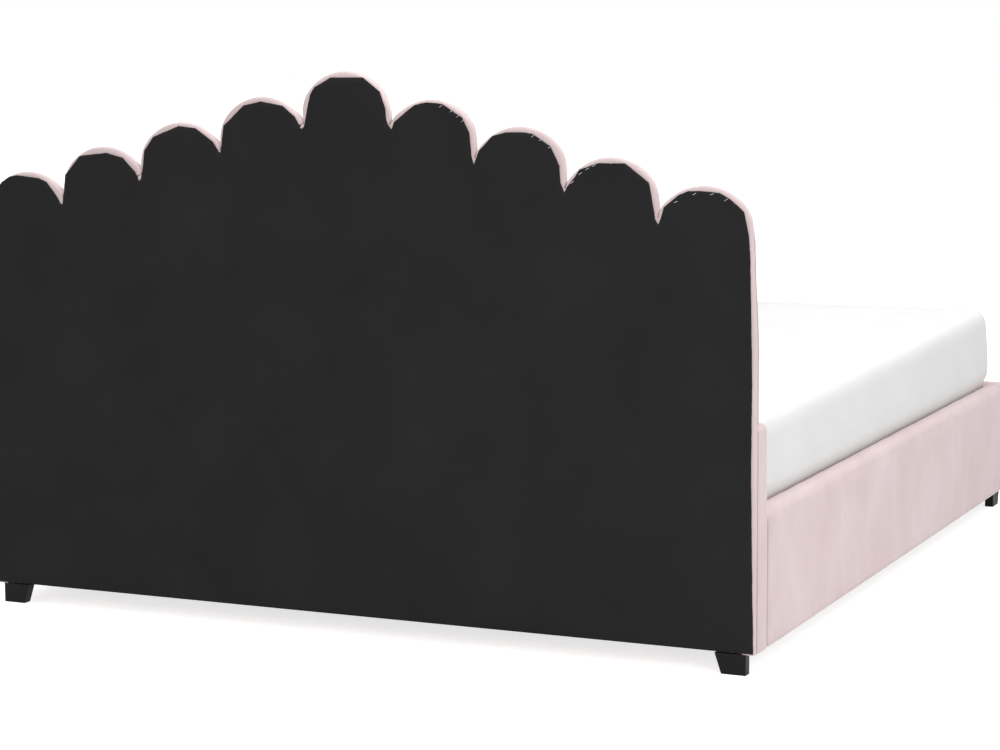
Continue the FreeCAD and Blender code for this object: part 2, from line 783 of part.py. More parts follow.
def all_nodes():
    nodes = {
        "headboard_board": headboard_board(),
        "headboard_edge_wrap": headboard_edge_wrap(),
        "headboard_back_cloth": back_cloth(),
        "headboard_lower_cover": lower_cover(),
        "headboard_front_panel": front_panel(),
        "headboard_post_centre": centre_post(),
        "headboard_batten_top": batten(lower_wood_top - batten_height),
        "headboard_batten_bottom": batten(core_bottom),
        "headboard_screws": fasteners(frame_screw_places(), wood_screw),
        "footboard_board": footboard_board(),
        "footboard_cover": footboard_cover(),
        "corner_bolts": fasteners(head_bolt_places() + foot_bolt_places(), corner_bolt),
        "corner_insert_nuts": insert_nuts(),
        "bracket_screws": fasteners(bracket_screw_places(), wood_screw),
        "ledge_screws": fasteners(ledge_screw_places(), wood_screw),
        "leg_screws": fasteners(head_leg_screw_places() + foot_leg_screw_places(), wood_screw),
        "hanger_screws": fasteners(
            head_hanger_screw_places() + foot_hanger_screw_places(), wood_screw),
        "centre_leg_screws": fasteners(centre_leg_screw_places(), wood_screw),
        "centre_beam": centre_beam(),
        "beam_hanger_head": beam_hanger(box_front, -1),
        "beam_hanger_foot": beam_hanger(foot_core_back, 1),
        "slat_caps_centre": Part.makeCompound([centre_cap(y) for y in slat_ys()]),
        "mattress": mattress(),
    }
    for index in range(lobe_count):
        nodes[f"channel_pad_{index + 1}"] = channel_pad(index)
    for number, y in enumerate(centre_leg_ys(), start=1):
        nodes[f"centre_leg_{number}"] = centre_leg(y)
        nodes[f"levelling_foot_{number}"] = levelling_foot(y)
    nodes.update(pair("headboard_post", side_post()))
    nodes.update(pair("rail_board", rail_board()))
    nodes.update(pair("rail_cover", rail_cover()))
    nodes.update(pair("head_leg", head_leg()))
    nodes.update(pair("foot_leg", foot_leg()))
    nodes.update(pair("corner_bracket_head", corner_bracket(box_front, -1)))
    nodes.update(pair("corner_bracket_foot", corner_bracket(foot_core_back, 1)))
    nodes.update(pair("slat_ledge", slat_ledge()))
    nodes.update(pair("slats", Part.makeCompound([slat(y) for y in slat_ys()])))
    nodes.update(pair("slat_caps", Part.makeCompound([outer_cap(y) for y in slat_ys()])))
    return nodes


os.makedirs("parts", exist_ok=True)
for node, shape in all_nodes().items():
    if not shape.isValid():
        print("not valid:", node)
    shape.exportStep(os.path.join("parts", node + ".step"))
    print(node, len(shape.Solids), "solid(s)", round(shape.Volume / 1e6, 3), "litres")
print("overall", overall_width, overall_length, headboard_height)
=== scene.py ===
# %% [markdown]
# # A velvet bed with a headboard of round lobes
# This lesson dresses a double bed. The construction - boards, slats, brackets, legs - comes as a fixed
# frame, and is never moved here. What is made here is what an upholsterer and a finisher would add: padded
# velvet, the black cloth that closes the back, staples, screw heads, and the finish of every board and
# bracket. Everything is in metres. +Z is up, the headboard stands at +Y, and the bed's middle is over the
# origin.

# %% Load the frame
import json
import math

import bmesh
import bpy
import numpy as np
from mathutils import Matrix, Vector, noise
from mathutils.bvhtree import BVHTree
from mathutils.geometry import delaunay_2d_cdt


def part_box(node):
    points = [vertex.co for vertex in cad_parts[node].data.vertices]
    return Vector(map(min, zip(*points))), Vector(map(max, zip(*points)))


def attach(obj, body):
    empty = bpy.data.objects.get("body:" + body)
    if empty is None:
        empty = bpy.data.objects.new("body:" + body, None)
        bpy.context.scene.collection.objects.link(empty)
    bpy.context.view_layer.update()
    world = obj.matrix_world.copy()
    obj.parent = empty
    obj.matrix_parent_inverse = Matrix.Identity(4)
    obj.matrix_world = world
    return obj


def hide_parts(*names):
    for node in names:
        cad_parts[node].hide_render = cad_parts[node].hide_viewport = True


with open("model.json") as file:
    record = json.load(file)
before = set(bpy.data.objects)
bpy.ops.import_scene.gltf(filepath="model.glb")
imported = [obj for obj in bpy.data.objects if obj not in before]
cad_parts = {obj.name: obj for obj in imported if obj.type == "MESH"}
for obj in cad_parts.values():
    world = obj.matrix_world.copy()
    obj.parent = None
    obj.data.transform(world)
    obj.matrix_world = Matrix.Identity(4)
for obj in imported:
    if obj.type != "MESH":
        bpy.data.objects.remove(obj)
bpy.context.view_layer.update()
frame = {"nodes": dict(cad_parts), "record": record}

scene = bpy.context.scene
mm = 0.001

# %% [markdown]
# ## Camera
# The bed is looked at from behind its headboard, a little to one side and from just above the top of the
# headboard. A long lens from some six metres keeps the headboard's edges nearly parallel. The camera's own
# axes are worked out from a heading, a downward pitch and a slight roll, because that is how a person would
# level a tripod.

# %% Camera
camera_place = Vector((-2.7558, 6.3278, 1.4076))
camera_heading = math.radians(24.44)
camera_pitch = math.radians(7.86)
camera_roll = math.radians(-0.39)
camera_lens = 97.13


def aim_camera():
    """Makes the camera and turns it by heading, pitch and roll."""
    across = Vector((-math.cos(camera_heading), -math.sin(camera_heading), 0))
    level = Vector((math.sin(camera_heading), -math.cos(camera_heading), 0))
    ahead = level * math.cos(camera_pitch) + Vector((0, 0, -math.sin(camera_pitch)))
    upward = across.cross(ahead)
    right = across * math.cos(camera_roll) + upward * math.sin(camera_roll)
    top = upward * math.cos(camera_roll) - across * math.sin(camera_roll)
    camera = bpy.data.objects.new("camera", bpy.data.cameras.new("camera"))
    camera.data.lens = camera_lens
    turn = Matrix((right, top, -ahead)).transposed().to_4x4()
    camera.matrix_world = Matrix.Translation(camera_place) @ turn
    scene.collection.objects.link(camera)
    scene.camera = camera
    return camera


camera = aim_camera()
print("camera at", tuple(round(v, 2) for v in camera.location))

# %% [markdown]
# ## Node helpers
# Every finish below is a small network of nodes. A few helpers keep each one readable: one starts a
# material, one adds a node and wires its inputs, and the rest are the patterns that fabric, wood and metal
# share.

# %% Node helpers


def start_material(name):
    """A new material with only its output and its main shader."""
    material = bpy.data.materials.new(name)
    material.use_nodes = True
    tree = material.node_tree
    tree.nodes.clear()
    shader = add(tree, "ShaderNodeBsdfPrincipled")
    add(tree, "ShaderNodeOutputMaterial", Surface=shader.outputs[0])
    return material, tree, shader


def feed(tree, socket, value):
    """Gives a socket a value, or a link from another node."""
    if isinstance(value, bpy.types.NodeSocket):
        tree.links.new(value, socket)
    elif socket.type == "RGBA" and len(value) == 3:
        socket.default_value = (*value, 1)
    else:
        socket.default_value = value


def add(tree, kind, options=None, **inputs):
    """Adds a node, sets its options, and feeds its inputs."""
    node = tree.nodes.new(kind)
    for key, value in (options or {}).items():
        setattr(node, key, value)
    for key, value in inputs.items():
        feed(tree, node.inputs[key.replace("_", " ")], value)
    return node


def set_shader(tree, shader, **inputs):
    """Feeds the inputs of a material's main shader."""
    for key, value in inputs.items():
        feed(tree, shader.inputs[key.replace("_", " ")], value)


def place(tree, scale=(1, 1, 1), turn=(0, 0, 0)):
    """Object coordinates in metres, stretched and turned."""
    where = add(tree, "ShaderNodeTexCoord").outputs["Object"]
    return add(tree, "ShaderNodeMapping", Vector=where, Scale=scale, Rotation=turn).outputs[0]


def speckle(tree, where, scale, detail=2.0, roughness=0.5, distortion=0.0):
    """Noise between 0 and 1: scale is how many blotches there are in a metre."""
    node = add(tree, "ShaderNodeTexNoise", Vector=where, Scale=scale, Detail=detail,
               Roughness=roughness, Distortion=distortion)
    return node.outputs["Fac"]


def waves(tree, where, way, scale, **more):
    """Stripes between 0 and 1."""
    node = add(tree, "ShaderNodeTexWave", {"bands_direction": way}, Vector=where, Scale=scale, **more)
    return node.outputs["Fac"]


def shades(tree, amount, *stops):
    """Turns an amount from 0 to 1 into a colour: stops are pairs of place and (red, green, blue)."""
    ramp = add(tree, "ShaderNodeValToRGB", Fac=amount)
    elements = ramp.color_ramp.elements
    while len(elements) < len(stops):
        elements.new(0.5)
    for element, (position, colour) in zip(elements, stops):
        element.position = position
        element.color = (*colour, 1)
    return ramp.outputs["Color"]


def level(tree, amount, low, high):
    """Turns an amount from 0 to 1 into one between low and high."""
    node = add(tree, "ShaderNodeMapRange", Value=amount, To_Min=low, To_Max=high)
    return node.outputs[0]


def blended(tree, amount, one, two, how="MIX"):
    """Mixes two colours."""
    node = add(tree, "ShaderNodeMix", {"data_type": "RGBA", "blend_type": how})
    for index, value in ((0, amount), (6, one), (7, two)):
        feed(tree, node.inputs[index], value)
    return node.outputs[2]


def maths(tree, what, one, two=0.0):
    """One step of arithmetic on two amounts."""
    node = add(tree, "ShaderNodeMath", {"operation": what})
    feed(tree, node.inputs[0], one)
    feed(tree, node.inputs[1], two)
    return node.outputs[0]


def relief(tree, shader, *layers):
    """Bumps laid one on another: each layer is a height, its strength and its depth in metres."""
    normal = None
    for height, strength, depth in layers:
        bump = add(tree, "ShaderNodeBump", Height=height, Strength=strength, Distance=depth)
        if normal:
            tree.links.new(normal, bump.inputs["Normal"])
        normal = bump.outputs[0]
    tree.links.new(normal, shader.inputs["Normal"])


# %% [markdown]
# ## Floor, backdrop and light
# The bed stands on white paper in a white room. The paper is a little self-lit for the camera only, so it
# shows as white and yet keeps the bed's soft shadow; the room is white for the camera and for reflections,
# and dimmer as light. One wide lamp hangs overhead and a weaker one stands behind the camera, so a fold
# still has a lit and a shaded side.

# %% Floor and backdrop
room_light = 0.58
paper_white = 0.82
paper_glow = 0.72
paper_half = 30.0


def seen_by_eye(tree):
    """1 where the camera sees a thing, also in metal or through glass, and 0 for the thing's light."""
    path = add(tree, "ShaderNodeLightPath")
    seen = maths(tree, "MAXIMUM", path.outputs["Is Camera Ray"], path.outputs["Is Glossy Ray"])
    return maths(tree, "MAXIMUM", seen, path.outputs["Is Transmission Ray"])


def white_room():
    """The world: white to look at, and an even dim light."""
    world = bpy.data.worlds.new("white room")
    world.use_nodes = True
    tree = world.node_tree
    tree.nodes.clear()
    strength = level(tree, seen_by_eye(tree), room_light, 1.0)
    background = add(tree, "ShaderNodeBackground", Color=(1, 1, 1, 1), Strength=strength)
    add(tree, "ShaderNodeOutputWorld", Surface=background.outputs[0])
    scene.world = world


def paper_floor():
    """A wide sheet of white paper under the bed."""
    material = bpy.data.materials.new("white paper")
    material.use_nodes = True
    tree = material.node_tree
    tree.nodes.clear()
    paper = add(tree, "ShaderNodeBsdfDiffuse", Color=(paper_white, paper_white, paper_white, 1))
    glow = add(tree, "ShaderNodeEmission", Strength=level(tree, seen_by_eye(tree), 0.0, paper_glow))
    both = add(tree, "ShaderNodeAddShader")
    tree.links.new(paper.outputs[0], both.inputs[0])
    tree.links.new(glow.outputs[0], both.inputs[1])
    add(tree, "ShaderNodeOutputMaterial", Surface=both.outputs[0])
    corners = [(x * paper_half, y * paper_half, 0) for x, y in ((-1, -1), (1, -1), (1, 1), (-1, 1))]
    mesh = bpy.data.meshes.new("floor")
    mesh.from_pydata(corners, [], [(0, 1, 2, 3)])
    mesh.materials.append(material)
    floor = bpy.data.objects.new("floor", mesh)
    scene.collection.objects.link(floor)


white_room()
paper_floor()
print("room light", room_light)

# %% Lamps


def soft_lamp(name, where, towards, size, power):
    """A square lamp that faces a point."""
    lamp = bpy.data.lights.new(name, "AREA")
    lamp.size = size
    lamp.energy = power
    holder = bpy.data.objects.new(name, lamp)
    holder.location = where
    holder.rotation_euler = (Vector(towards) - Vector(where)).to_track_quat("-Z", "Y").to_euler()
    scene.collection.objects.link(holder)


bed_middle = (0, 0, 0.5)
soft_lamp("overhead", (-1.0, 0.6, 5.0), bed_middle, 5.0, 190)
soft_lamp("behind camera", (-5.5, 5.0, 2.6), (-0.6, 0.4, 0.6), 3.0, 100)
scene.view_settings.view_transform = "Standard"

# %% [markdown]
# ## Velvet
# The cover is a pale pink velvet. Its short pile leans this way and that, so broad soft patches look lighter
# or darker, and it is palest where the light grazes it. A slow noise stretched upwards gives the patches, a
# finer one the marks of a hand's stroke, and the shader's sheen gives the pale bloom. Deep in creases and
# seams the velvet is painted a dark pink, a painted shade for the light that does not reach in there, so the
# pieces carry an attribute named fold that the colour reads: it is 0 where a piece has none.

# %% Velvet
velvet_dark = (0.645, 0.516, 0.521)
velvet_mid = (0.694, 0.564, 0.570)
velvet_pale = (0.745, 0.622, 0.627)
# The dark pink of the painted shade in creases and seams.
velvet_crease_shade = (0.330, 0.180, 0.195)


def velvet_material():
    material, tree, shader = start_material("pink velvet")
    patches = speckle(tree, place(tree, (1.0, 1.0, 0.8)), 4.6, 3.0, 0.55, 0.6)
    strokes = speckle(tree, place(tree, (1.0, 1.0, 0.6)), 17.0, 3.0, 0.6, 0.4)
    nap = maths(tree, "ADD", maths(tree, "MULTIPLY", patches, 0.76), maths(tree, "MULTIPLY", strokes, 0.24))
    colour = shades(tree, nap, (0.30, velvet_dark), (0.50, velvet_mid), (0.70, velvet_pale))
    pile = speckle(tree, place(tree), 1400.0, 2.0, 0.7)
    colour = blended(tree, level(tree, pile, 0.0, 0.10), colour, (0.50, 0.36, 0.37))
    # Painted shade: where a piece marks a crease or seam, the colour is mixed towards a dark pink.
    fold = add(tree, "ShaderNodeAttribute", {"attribute_name": "fold"}).outputs["Fac"]
    colour = blended(tree, fold, colour, velvet_crease_shade)
    set_shader(tree, shader, Base_Color=colour, Roughness=level(tree, nap, 0.92, 0.78),
               Specular_IOR_Level=0.18, Sheen_Weight=0.30, Sheen_Roughness=0.45, Sheen_Tint=(1.0, 0.93, 0.94))
    relief(tree, shader, (patches, 0.25, 3 * mm), (strokes, 0.12, 1.0 * mm), (pile, 0.35, 0.25 * mm))
    return material


velvet = velvet_material()
print("made", velvet.name)

# %% [markdown]
# ## Black dust cloth
# The back is closed with spun-bonded cloth: felted threads, pressed together in a grid of tiny dimples a bit
# over a millimetre apart. A fine noise gives the threads, a pair of crossed waves the dimples, and a slow
# noise the faint clouding that such cheap cloth has. It is nearly dull.

# %% Dust cloth
dust_black = (0.0105, 0.0105, 0.0112)
dust_grey = (0.0165, 0.0163, 0.0176)


def dust_cloth_material():
    material, tree, shader = start_material("black dust cloth")
    clouds = speckle(tree, place(tree), 5.0, 4.0, 0.6)
    threads = speckle(tree, place(tree, (1.0, 1.0, 2.6), (0, 0.5, 0)), 650.0, 3.0, 0.7, 1.2)
    rows, columns = [waves(tree, place(tree, turn=(0, turn, 0)), "X", 260.0) for turn in (0.7, -0.87)]
    dimples = maths(tree, "MULTIPLY", rows, columns)
    colour = shades(tree, clouds, (0.30, dust_black), (0.72, dust_grey))
    colour = blended(tree, level(tree, threads, 0.0, 0.5), colour, (0.026, 0.026, 0.028))
    set_shader(tree, shader, Base_Color=colour, Roughness=level(tree, threads, 0.74, 0.92),
               Specular_IOR_Level=0.15)
    relief(tree, shader, (clouds, 0.25, 1.5 * mm), (dimples, 0.45, 0.2 * mm), (threads, 0.5, 0.15 * mm))
    return material


dust_cloth = dust_cloth_material()
print("made", dust_cloth.name)

# %% [markdown]
# ## Mattress ticking
# A white knitted cover. Its ribs are about two millimetres wide and run along the bed, with a fine loop
# across them. Where the surface turns more than about forty-five degrees from the top, the sides are painted
# greyer than the top, a painted shade for sides that take less of the overhead light, and the two meet in a
# crisp line.

# %% Ticking


def ticking_material():
    material, tree, shader = start_material("white ticking")
    ribs = waves(tree, place(tree), "X", 150.0, Distortion=0.6, Detail=1.0)
    loops = waves(tree, place(tree, (1, 1, 1.4)), "DIAGONAL", 190.0, Distortion=0.5)
    knit = maths(tree, "MULTIPLY", ribs, loops)
    lint = speckle(tree, place(tree), 8.0, 3.0)
    colour = shades(tree, lint, (0.3, (0.800, 0.800, 0.795)), (0.7, (0.850, 0.850, 0.848)))
    colour = blended(tree, level(tree, knit, 0.07, 0.0), colour, (0.55, 0.55, 0.55))
    # Painted shade: the mattress's sides are painted greyer than its top.
    border = add(tree, "ShaderNodeAttribute", {"attribute_name": "border"}).outputs["Fac"]
    colour = blended(tree, level(tree, border, 0.0, 0.42), colour, (0.66, 0.66, 0.66))
    set_shader(tree, shader, Base_Color=colour, Roughness=level(tree, knit, 0.9, 0.72),
               Specular_IOR_Level=0.25, Sheen_Weight=0.10)
    relief(tree, shader, (lint, 0.2, 2 * mm), (knit, 0.5, 0.35 * mm))
    return material


ticking = ticking_material()
print("made", ticking.name)

# %% [markdown]
# ## Woods
# Three woods share one recipe: long streaks of noise for the grain, rings from a distorted wave, and pores on
# top. What differs is the colour, the scale and which way the grain runs: plywood boards stand on edge, pine
# posts and ledges run along their length, and the slats are beech veneers that run across the bed.

# %% Woods


def wood_material(name, dark, mid, pale, along, ring_scale, polish):
    """along is the stretch of the grain on X, Y and Z: smallest along the fibres."""
    material, tree, shader = start_material(name)
    fibres = speckle(tree, place(tree, along), 42.0, 4.0, 0.62, 0.3)
    rings = waves(tree, place(tree, along), "DIAGONAL", ring_scale, Distortion=7.0, Detail=3.0,
                  Detail_Scale=1.2)
    pores = speckle(tree, place(tree, along), 480.0, 2.0, 0.6)
    figure = maths(tree, "ADD", maths(tree, "MULTIPLY", fibres, 0.6), maths(tree, "MULTIPLY", rings, 0.4))
    colour = shades(tree, figure, (0.22, dark), (0.5, mid), (0.8, pale))
    colour = blended(tree, level(tree, pores, 0.0, 0.35), colour, dark)
    rough = level(tree, pores, polish, polish + 0.2)
    set_shader(tree, shader, Base_Color=colour, Roughness=rough, Specular_IOR_Level=0.3)
    relief(tree, shader, (figure, 0.25, 0.5 * mm), (pores, 0.3, 0.15 * mm))
    return material


plywood = wood_material("plywood", (0.36, 0.24, 0.13), (0.56, 0.41, 0.25), (0.68, 0.53, 0.35),
                        (0.12, 1.6, 1.0), 7.0, 0.62)
pine = wood_material("pine", (0.45, 0.28, 0.14), (0.66, 0.48, 0.28), (0.76, 0.60, 0.40),
                     (1.0, 0.10, 0.35), 9.0, 0.6)
beech = wood_material("beech veneer", (0.50, 0.33, 0.19), (0.68, 0.50, 0.33), (0.78, 0.62, 0.44),
                      (0.10, 1.3, 2.0), 16.0, 0.38)
print("made", plywood.name, pine.name, beech.name)

# %% [markdown]
# ## Paint, zinc and plastic
# The block legs are stained black under a satin lacquer that has worn a little along the corners. The steel
# is powder coated, with the faint orange-peel of baked powder; screws are bright zinc; the slat caps and
# screw feet are moulded plastic with a fine even texture. A Bevel node compared with the true normal finds
# the corners where lacquer wears.

# %% Paint, zinc and plastic


def corners_of(tree, radius):
    """About 1 on the corners of a piece and 0 on its faces."""
    soft = add(tree, "ShaderNodeBevel", {"samples": 4}, Radius=radius).outputs[0]
    true = add(tree, "ShaderNodeNewGeometry").outputs["Normal"]
    alike = add(tree, "ShaderNodeVectorMath", {"operation": "DOT_PRODUCT"})
    feed(tree, alike.inputs[0], soft)
    feed(tree, alike.inputs[1], true)
    node = add(tree, "ShaderNodeMapRange", Value=alike.outputs["Value"], From_Min=0.995, From_Max=0.90)
    return node.outputs[0]


def coated_material(name, base, worn, scale, depth, rough, wear=0.5, gloss=0.4):
    """A coat of paint, lacquer or plastic: an even colour, a fine relief and worn corners."""
    material, tree, shader = start_material(name)
    peel = speckle(tree, place(tree), scale, 2.0, 0.5)
    dust = speckle(tree, place(tree), 24.0, 4.0, 0.65)
    colour = blended(tree, level(tree, dust, 0.0, 0.35), base, tuple(v * 1.7 + 0.004 for v in base))
    edge = maths(tree, "MULTIPLY", corners_of(tree, 1.2 * mm), level(tree, dust, 0.1, wear))
    colour = blended(tree, edge, colour, worn)
    dusty = level(tree, dust, rough - 0.08, rough + 0.1)
    set_shader(tree, shader, Base_Color=colour, Roughness=dusty, Specular_IOR_Level=gloss)
    relief(tree, shader, (peel, 0.3, depth))
    return material


def zinc_material():
    material, tree, shader = start_material("bright zinc")
    cloud = speckle(tree, place(tree), 90.0, 4.0, 0.6)
    scratches = speckle(tree, place(tree, (1, 1, 0.1)), 700.0, 2.0)
    colour = shades(tree, cloud, (0.3, (0.46, 0.46, 0.47)), (0.7, (0.66, 0.65, 0.60)))
    set_shader(tree, shader, Base_Color=colour, Metallic=1.0, Roughness=level(tree, scratches, 0.22, 0.48))
    relief(tree, shader, (scratches, 0.2, 0.05 * mm))
    return material


black_lacquer = coated_material("black lacquer", (0.0075, 0.0075, 0.0080), (0.060, 0.045, 0.032),
                                300.0, 0.15 * mm, 0.50, 0.35, 0.12)
powder_coat = coated_material("black powder coat", (0.022, 0.022, 0.024), (0.12, 0.12, 0.12),
                              900.0, 0.12 * mm, 0.42, 0.25)
cap_plastic = coated_material("cap plastic", (0.018, 0.018, 0.019), (0.05, 0.05, 0.05),
                              1600.0, 0.08 * mm, 0.55, 0.2)
foot_plastic = coated_material("foot plastic", (0.020, 0.020, 0.021), (0.05, 0.05, 0.05),
                               1200.0, 0.08 * mm, 0.48, 0.2)
zinc = zinc_material()
print("made", black_lacquer.name, powder_coat.name, cap_plastic.name, foot_plastic.name, zinc.name)

# %% Give every frame node its finish
finishes = {
    "velvet": velvet, "dust_cloth": dust_cloth, "ticking": ticking, "plywood": plywood, "softwood": pine,
    "slat_wood": beech, "leg_black": black_lacquer, "painted_steel": powder_coat, "zinc_steel": zinc,
    "cap_plastic": cap_plastic, "foot_plastic": foot_plastic,
}
for part in frame["record"]["subparts"]:
    mesh = frame["nodes"][part["node"]].data
    mesh.materials.clear()
    mesh.materials.append(finishes[part["material_slot"]])

# %% [markdown]
# ## The headboard's outline
# The headboard's top edge is nine round lobes, each a step higher than the one outside it. Their radius,
# their pitch and their heights are read from the frame's channel pads, so the covers made below always fit
# the board they wrap. Lobes are numbered from -X to +X, and a lobe is given by the middle of its round top.

# %% The lobes
lobe_count = sum(name.startswith("channel_pad_") for name in frame["nodes"])
middle_lobe = (lobe_count - 1) // 2
wrap_lo, wrap_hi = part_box("headboard_edge_wrap")
pad_boxes = [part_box(f"channel_pad_{index + 1}") for index in range(lobe_count)]
seam_gap = pad_boxes[1][0].x - pad_boxes[0][1].x
lobe_radius = (pad_boxes[middle_lobe][1].x - pad_boxes[middle_lobe][0].x + seam_gap) / 2
lobe_pitch = (wrap_hi.x - wrap_lo.x - 2 * lobe_radius) / (lobe_count - 1)
back_face = wrap_hi.y


def lobe_middle(index):
    """X and Z of the middle of a lobe's round top."""
    return (index - middle_lobe) * lobe_pitch, pad_boxes[index][1].z - lobe_radius


print(lobe_count, "lobes of radius", round(lobe_radius, 4), "at a pitch of", round(lobe_pitch, 4))

# %% [markdown]
# ## Mesh helpers
# A few small helpers serve every soft piece. They put a mesh in the scene, read or write all its points at
# once, give its points an amount that its material reads, turn a piece with live modifiers into the plain
# mesh that they give, and tell the frame what a piece stands for.

# %% Mesh helpers


def new_piece(name, mesh, material, smooth=True):
    piece = bpy.data.objects.new(name, mesh)
    scene.collection.objects.link(piece)
    mesh.materials.clear()
    mesh.materials.append(material)
    if smooth:
        make_smooth(mesh)
    return piece


def make_smooth(mesh):
    mesh.polygons.foreach_set("use_smooth", [True] * len(mesh.polygons))


def mesh_from(shape, name):
    """The mesh of a shape that was built with bmesh, which is then freed."""
    mesh = bpy.data.meshes.new(name)
    shape.to_mesh(mesh)
    shape.free()
    return mesh


def give(mesh, name, amounts):
    """Gives each point an amount from 0 to 1 under a name."""
    attribute = mesh.attributes.new(name, "FLOAT", "POINT")
    attribute.data.foreach_set("value", np.clip(amounts, 0, 1).astype(np.float32).ravel())


def stands_for(piece, node, body):
    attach(piece, body)
    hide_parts(node)


def points_of(mesh):
    flat = np.zeros(len(mesh.vertices) * 3)
    mesh.vertices.foreach_get("co", flat)
    return flat.reshape(-1, 3)


def set_points(mesh, points):
    mesh.vertices.foreach_set("co", points.astype(np.float32).ravel())
    mesh.update()


def made_plain(piece):
    """Replaces a piece's mesh by what its modifiers make of it."""
    graph = bpy.context.evaluated_depsgraph_get()
    shown = piece.evaluated_get(graph)
    mesh = bpy.data.meshes.new_from_object(shown, preserve_all_data_layers=True, depsgraph=graph)
    piece.modifiers.clear()
    piece.data = mesh
    return piece


def thickened(piece, thickness):
    """Gives a sheet a thickness, inwards."""
    shell = piece.modifiers.new("thickness", "SOLIDIFY")
    shell.thickness = thickness
    shell.offset = -1
    return made_plain(piece)


def eased(amount):
    """0 below 0, 1 above 1, and a smooth rise between."""
    amount = np.clip(amount, 0, 1)
    return amount * amount * (3 - 2 * amount)


def roughly(points, scale, seed):
    """Smooth noise from -1 to 1 at each point; scale is how many bumps there are in a metre."""
    shift = Vector((seed * 7.31, seed * 3.17, seed * 5.71))
    return np.array([noise.noise(Vector(point) * scale + shift) for point in points])


# %% [markdown]
# ## Velvet round the headboard's edge
# The velvet comes over the board's edge, turns round it in a soft roll and is pulled flat onto the back. At
# each notch it is pinched into a slit between two lobes, where the two rolls meet in a crease. It is made as
# a strip: a line follows the outline and dips into each slit, and one short section - flat, roll, side - is
# carried along that line. The section is squared to the line at every point, and the flat part is kept
# narrower than the line's own bends, so the strip never folds over itself.

# %% The notches
cloth_notches = [(38, 6), (41, 10), (37, 12), (52, 1), (54, 16), (53, 11), (49, 11), (45, 6)]
crease_above_tip = [15, 10, 16, 11, 8, 8, 11, 10]
crease_height = [6, 6, 6, 15, 12, 10, 12, 9]
side_pull = [6, 8, 9, 0, 13, 10, 9, 7]
side_bulge = [0, 0, 0, 5, 5, 4, 4, 3]
outer_pull = 8


def lower_and_higher(gap):
    """The lower and the higher of the two lobes beside a notch, and which way along X the higher one lies."""
    low, high = sorted((gap, gap + 1), key=lambda index: lobe_middle(index)[1])
    return low, high, 1 if high > low else -1


def notch_tip(gap):
    """The point down to which the black cloth is slit between two lobes."""
    low, high, way = lower_and_higher(gap)
    rise, slant = cloth_notches[gap]
    return lobe_middle(high)[0] - way * (lobe_radius - slant * mm), lobe_middle(low)[1] + rise * mm


def crease_foot(gap):
    """Where the crease between the velvet of two lobes ends, a little above that point."""
    low, high, way = lower_and_higher(gap)
    rise, slant = cloth_notches[gap]
    inset = (5 + slant / 2) * mm
    height = lobe_middle(low)[1] + (rise + crease_above_tip[gap]) * mm
    return lobe_middle(high)[0] - way * (lobe_radius - inset), height


for gap in range(lobe_count - 1):
    print("notch", gap + 1, "ends at", [round(v, 3) for v in notch_tip(gap)])

# %% The line of the velvet's edge
path_step = 2.0 * mm
crease_end = 0.5 * mm
crease_open = 0.4 * mm
seam_draw = 12 * mm


def arc(middle, radius, start, end, step=path_step):
    """Points on a circle from one angle to another, about a path step apart."""
    count = max(3, int(abs(end - start) * radius / step))
    return [(middle[0] + radius * math.cos(a), middle[1] + radius * math.sin(a))
            for a in np.linspace(start, end, count)]


def run(one, two, bow=0.0):
    """Points on a line, about a path step apart, without its last one; a bow pushes its middle along X."""
    count = max(2, int(math.dist(one, two) / path_step))
    return [(one[0] + (two[0] - one[0]) * t + bow * math.sin(math.pi * t), one[1] + (two[1] - one[1]) * t)
            for t in np.linspace(0, 1, count, endpoint=False)]


def softened(points, passes):
    """Rounds the corners of an open line and leaves its ends."""
    line = np.array(points)
    for _ in range(passes):
        line[1:-1] = (line[:-2] + 2 * line[1:-1] + line[2:]) / 4
    return line


def side_inset(height):
    """How far the headboard's outer sides are pulled in at a height: more and more towards their top."""
    return outer_pull * mm * eased((height - 0.68) / 0.22)


def seam_at(gap, height):
    """X of the seam between two channels: under the higher lobe's side below, and drawn in above."""
    high, way = lower_and_higher(gap)[1:]
    x, z = lobe_middle(high)
    drawn = seam_draw * eased((height - z + 160 * mm) / (120 * mm))
    return x - way * (lobe_radius - drawn)


def channel_sides(index, height):
    """X of a channel's two sides at a height."""
    if index == 0:
        low = wrap_lo.x + side_inset(height)
    else:
        low = seam_at(index - 1, height)
    if index == lobe_count - 1:
        high = wrap_hi.x - side_inset(height)
    else:
        high = seam_at(index, height)
    return low + seam_gap / 2, high - seam_gap / 2


def pulled_in(line, index):
    """Draws a lobe's sides towards its channel's seams, where the velvet is tight; its top stays round."""
    x, z = lobe_middle(index)
    line = np.array(line)
    height = (line[:, 1] - z) / lobe_radius
    for side in (-1, 1):
        gap = index - 1 if side < 0 else index
        near_centre = 1 - eased(height / 0.57)
        if gap < 0 or gap > lobe_count - 2:
            pull = outer_pull * near_centre
        elif lower_and_higher(gap)[1] == index:
            pull = side_pull[gap] * near_centre
        else:
            pull = -side_bulge[gap] * (1 - eased((height - 0.5) / 0.36))
        there = (line[:, 0] - x) * side > 0
        line[there, 0] -= side * (pull * mm)[there]
    return line


def joins(gap, index):
    """The angle on a lobe's round where it runs into the crease of a gap."""
    above = crease_foot(gap)[1] + crease_height[gap] * mm - lobe_middle(index)[1]
    return math.asin(above / lobe_radius)


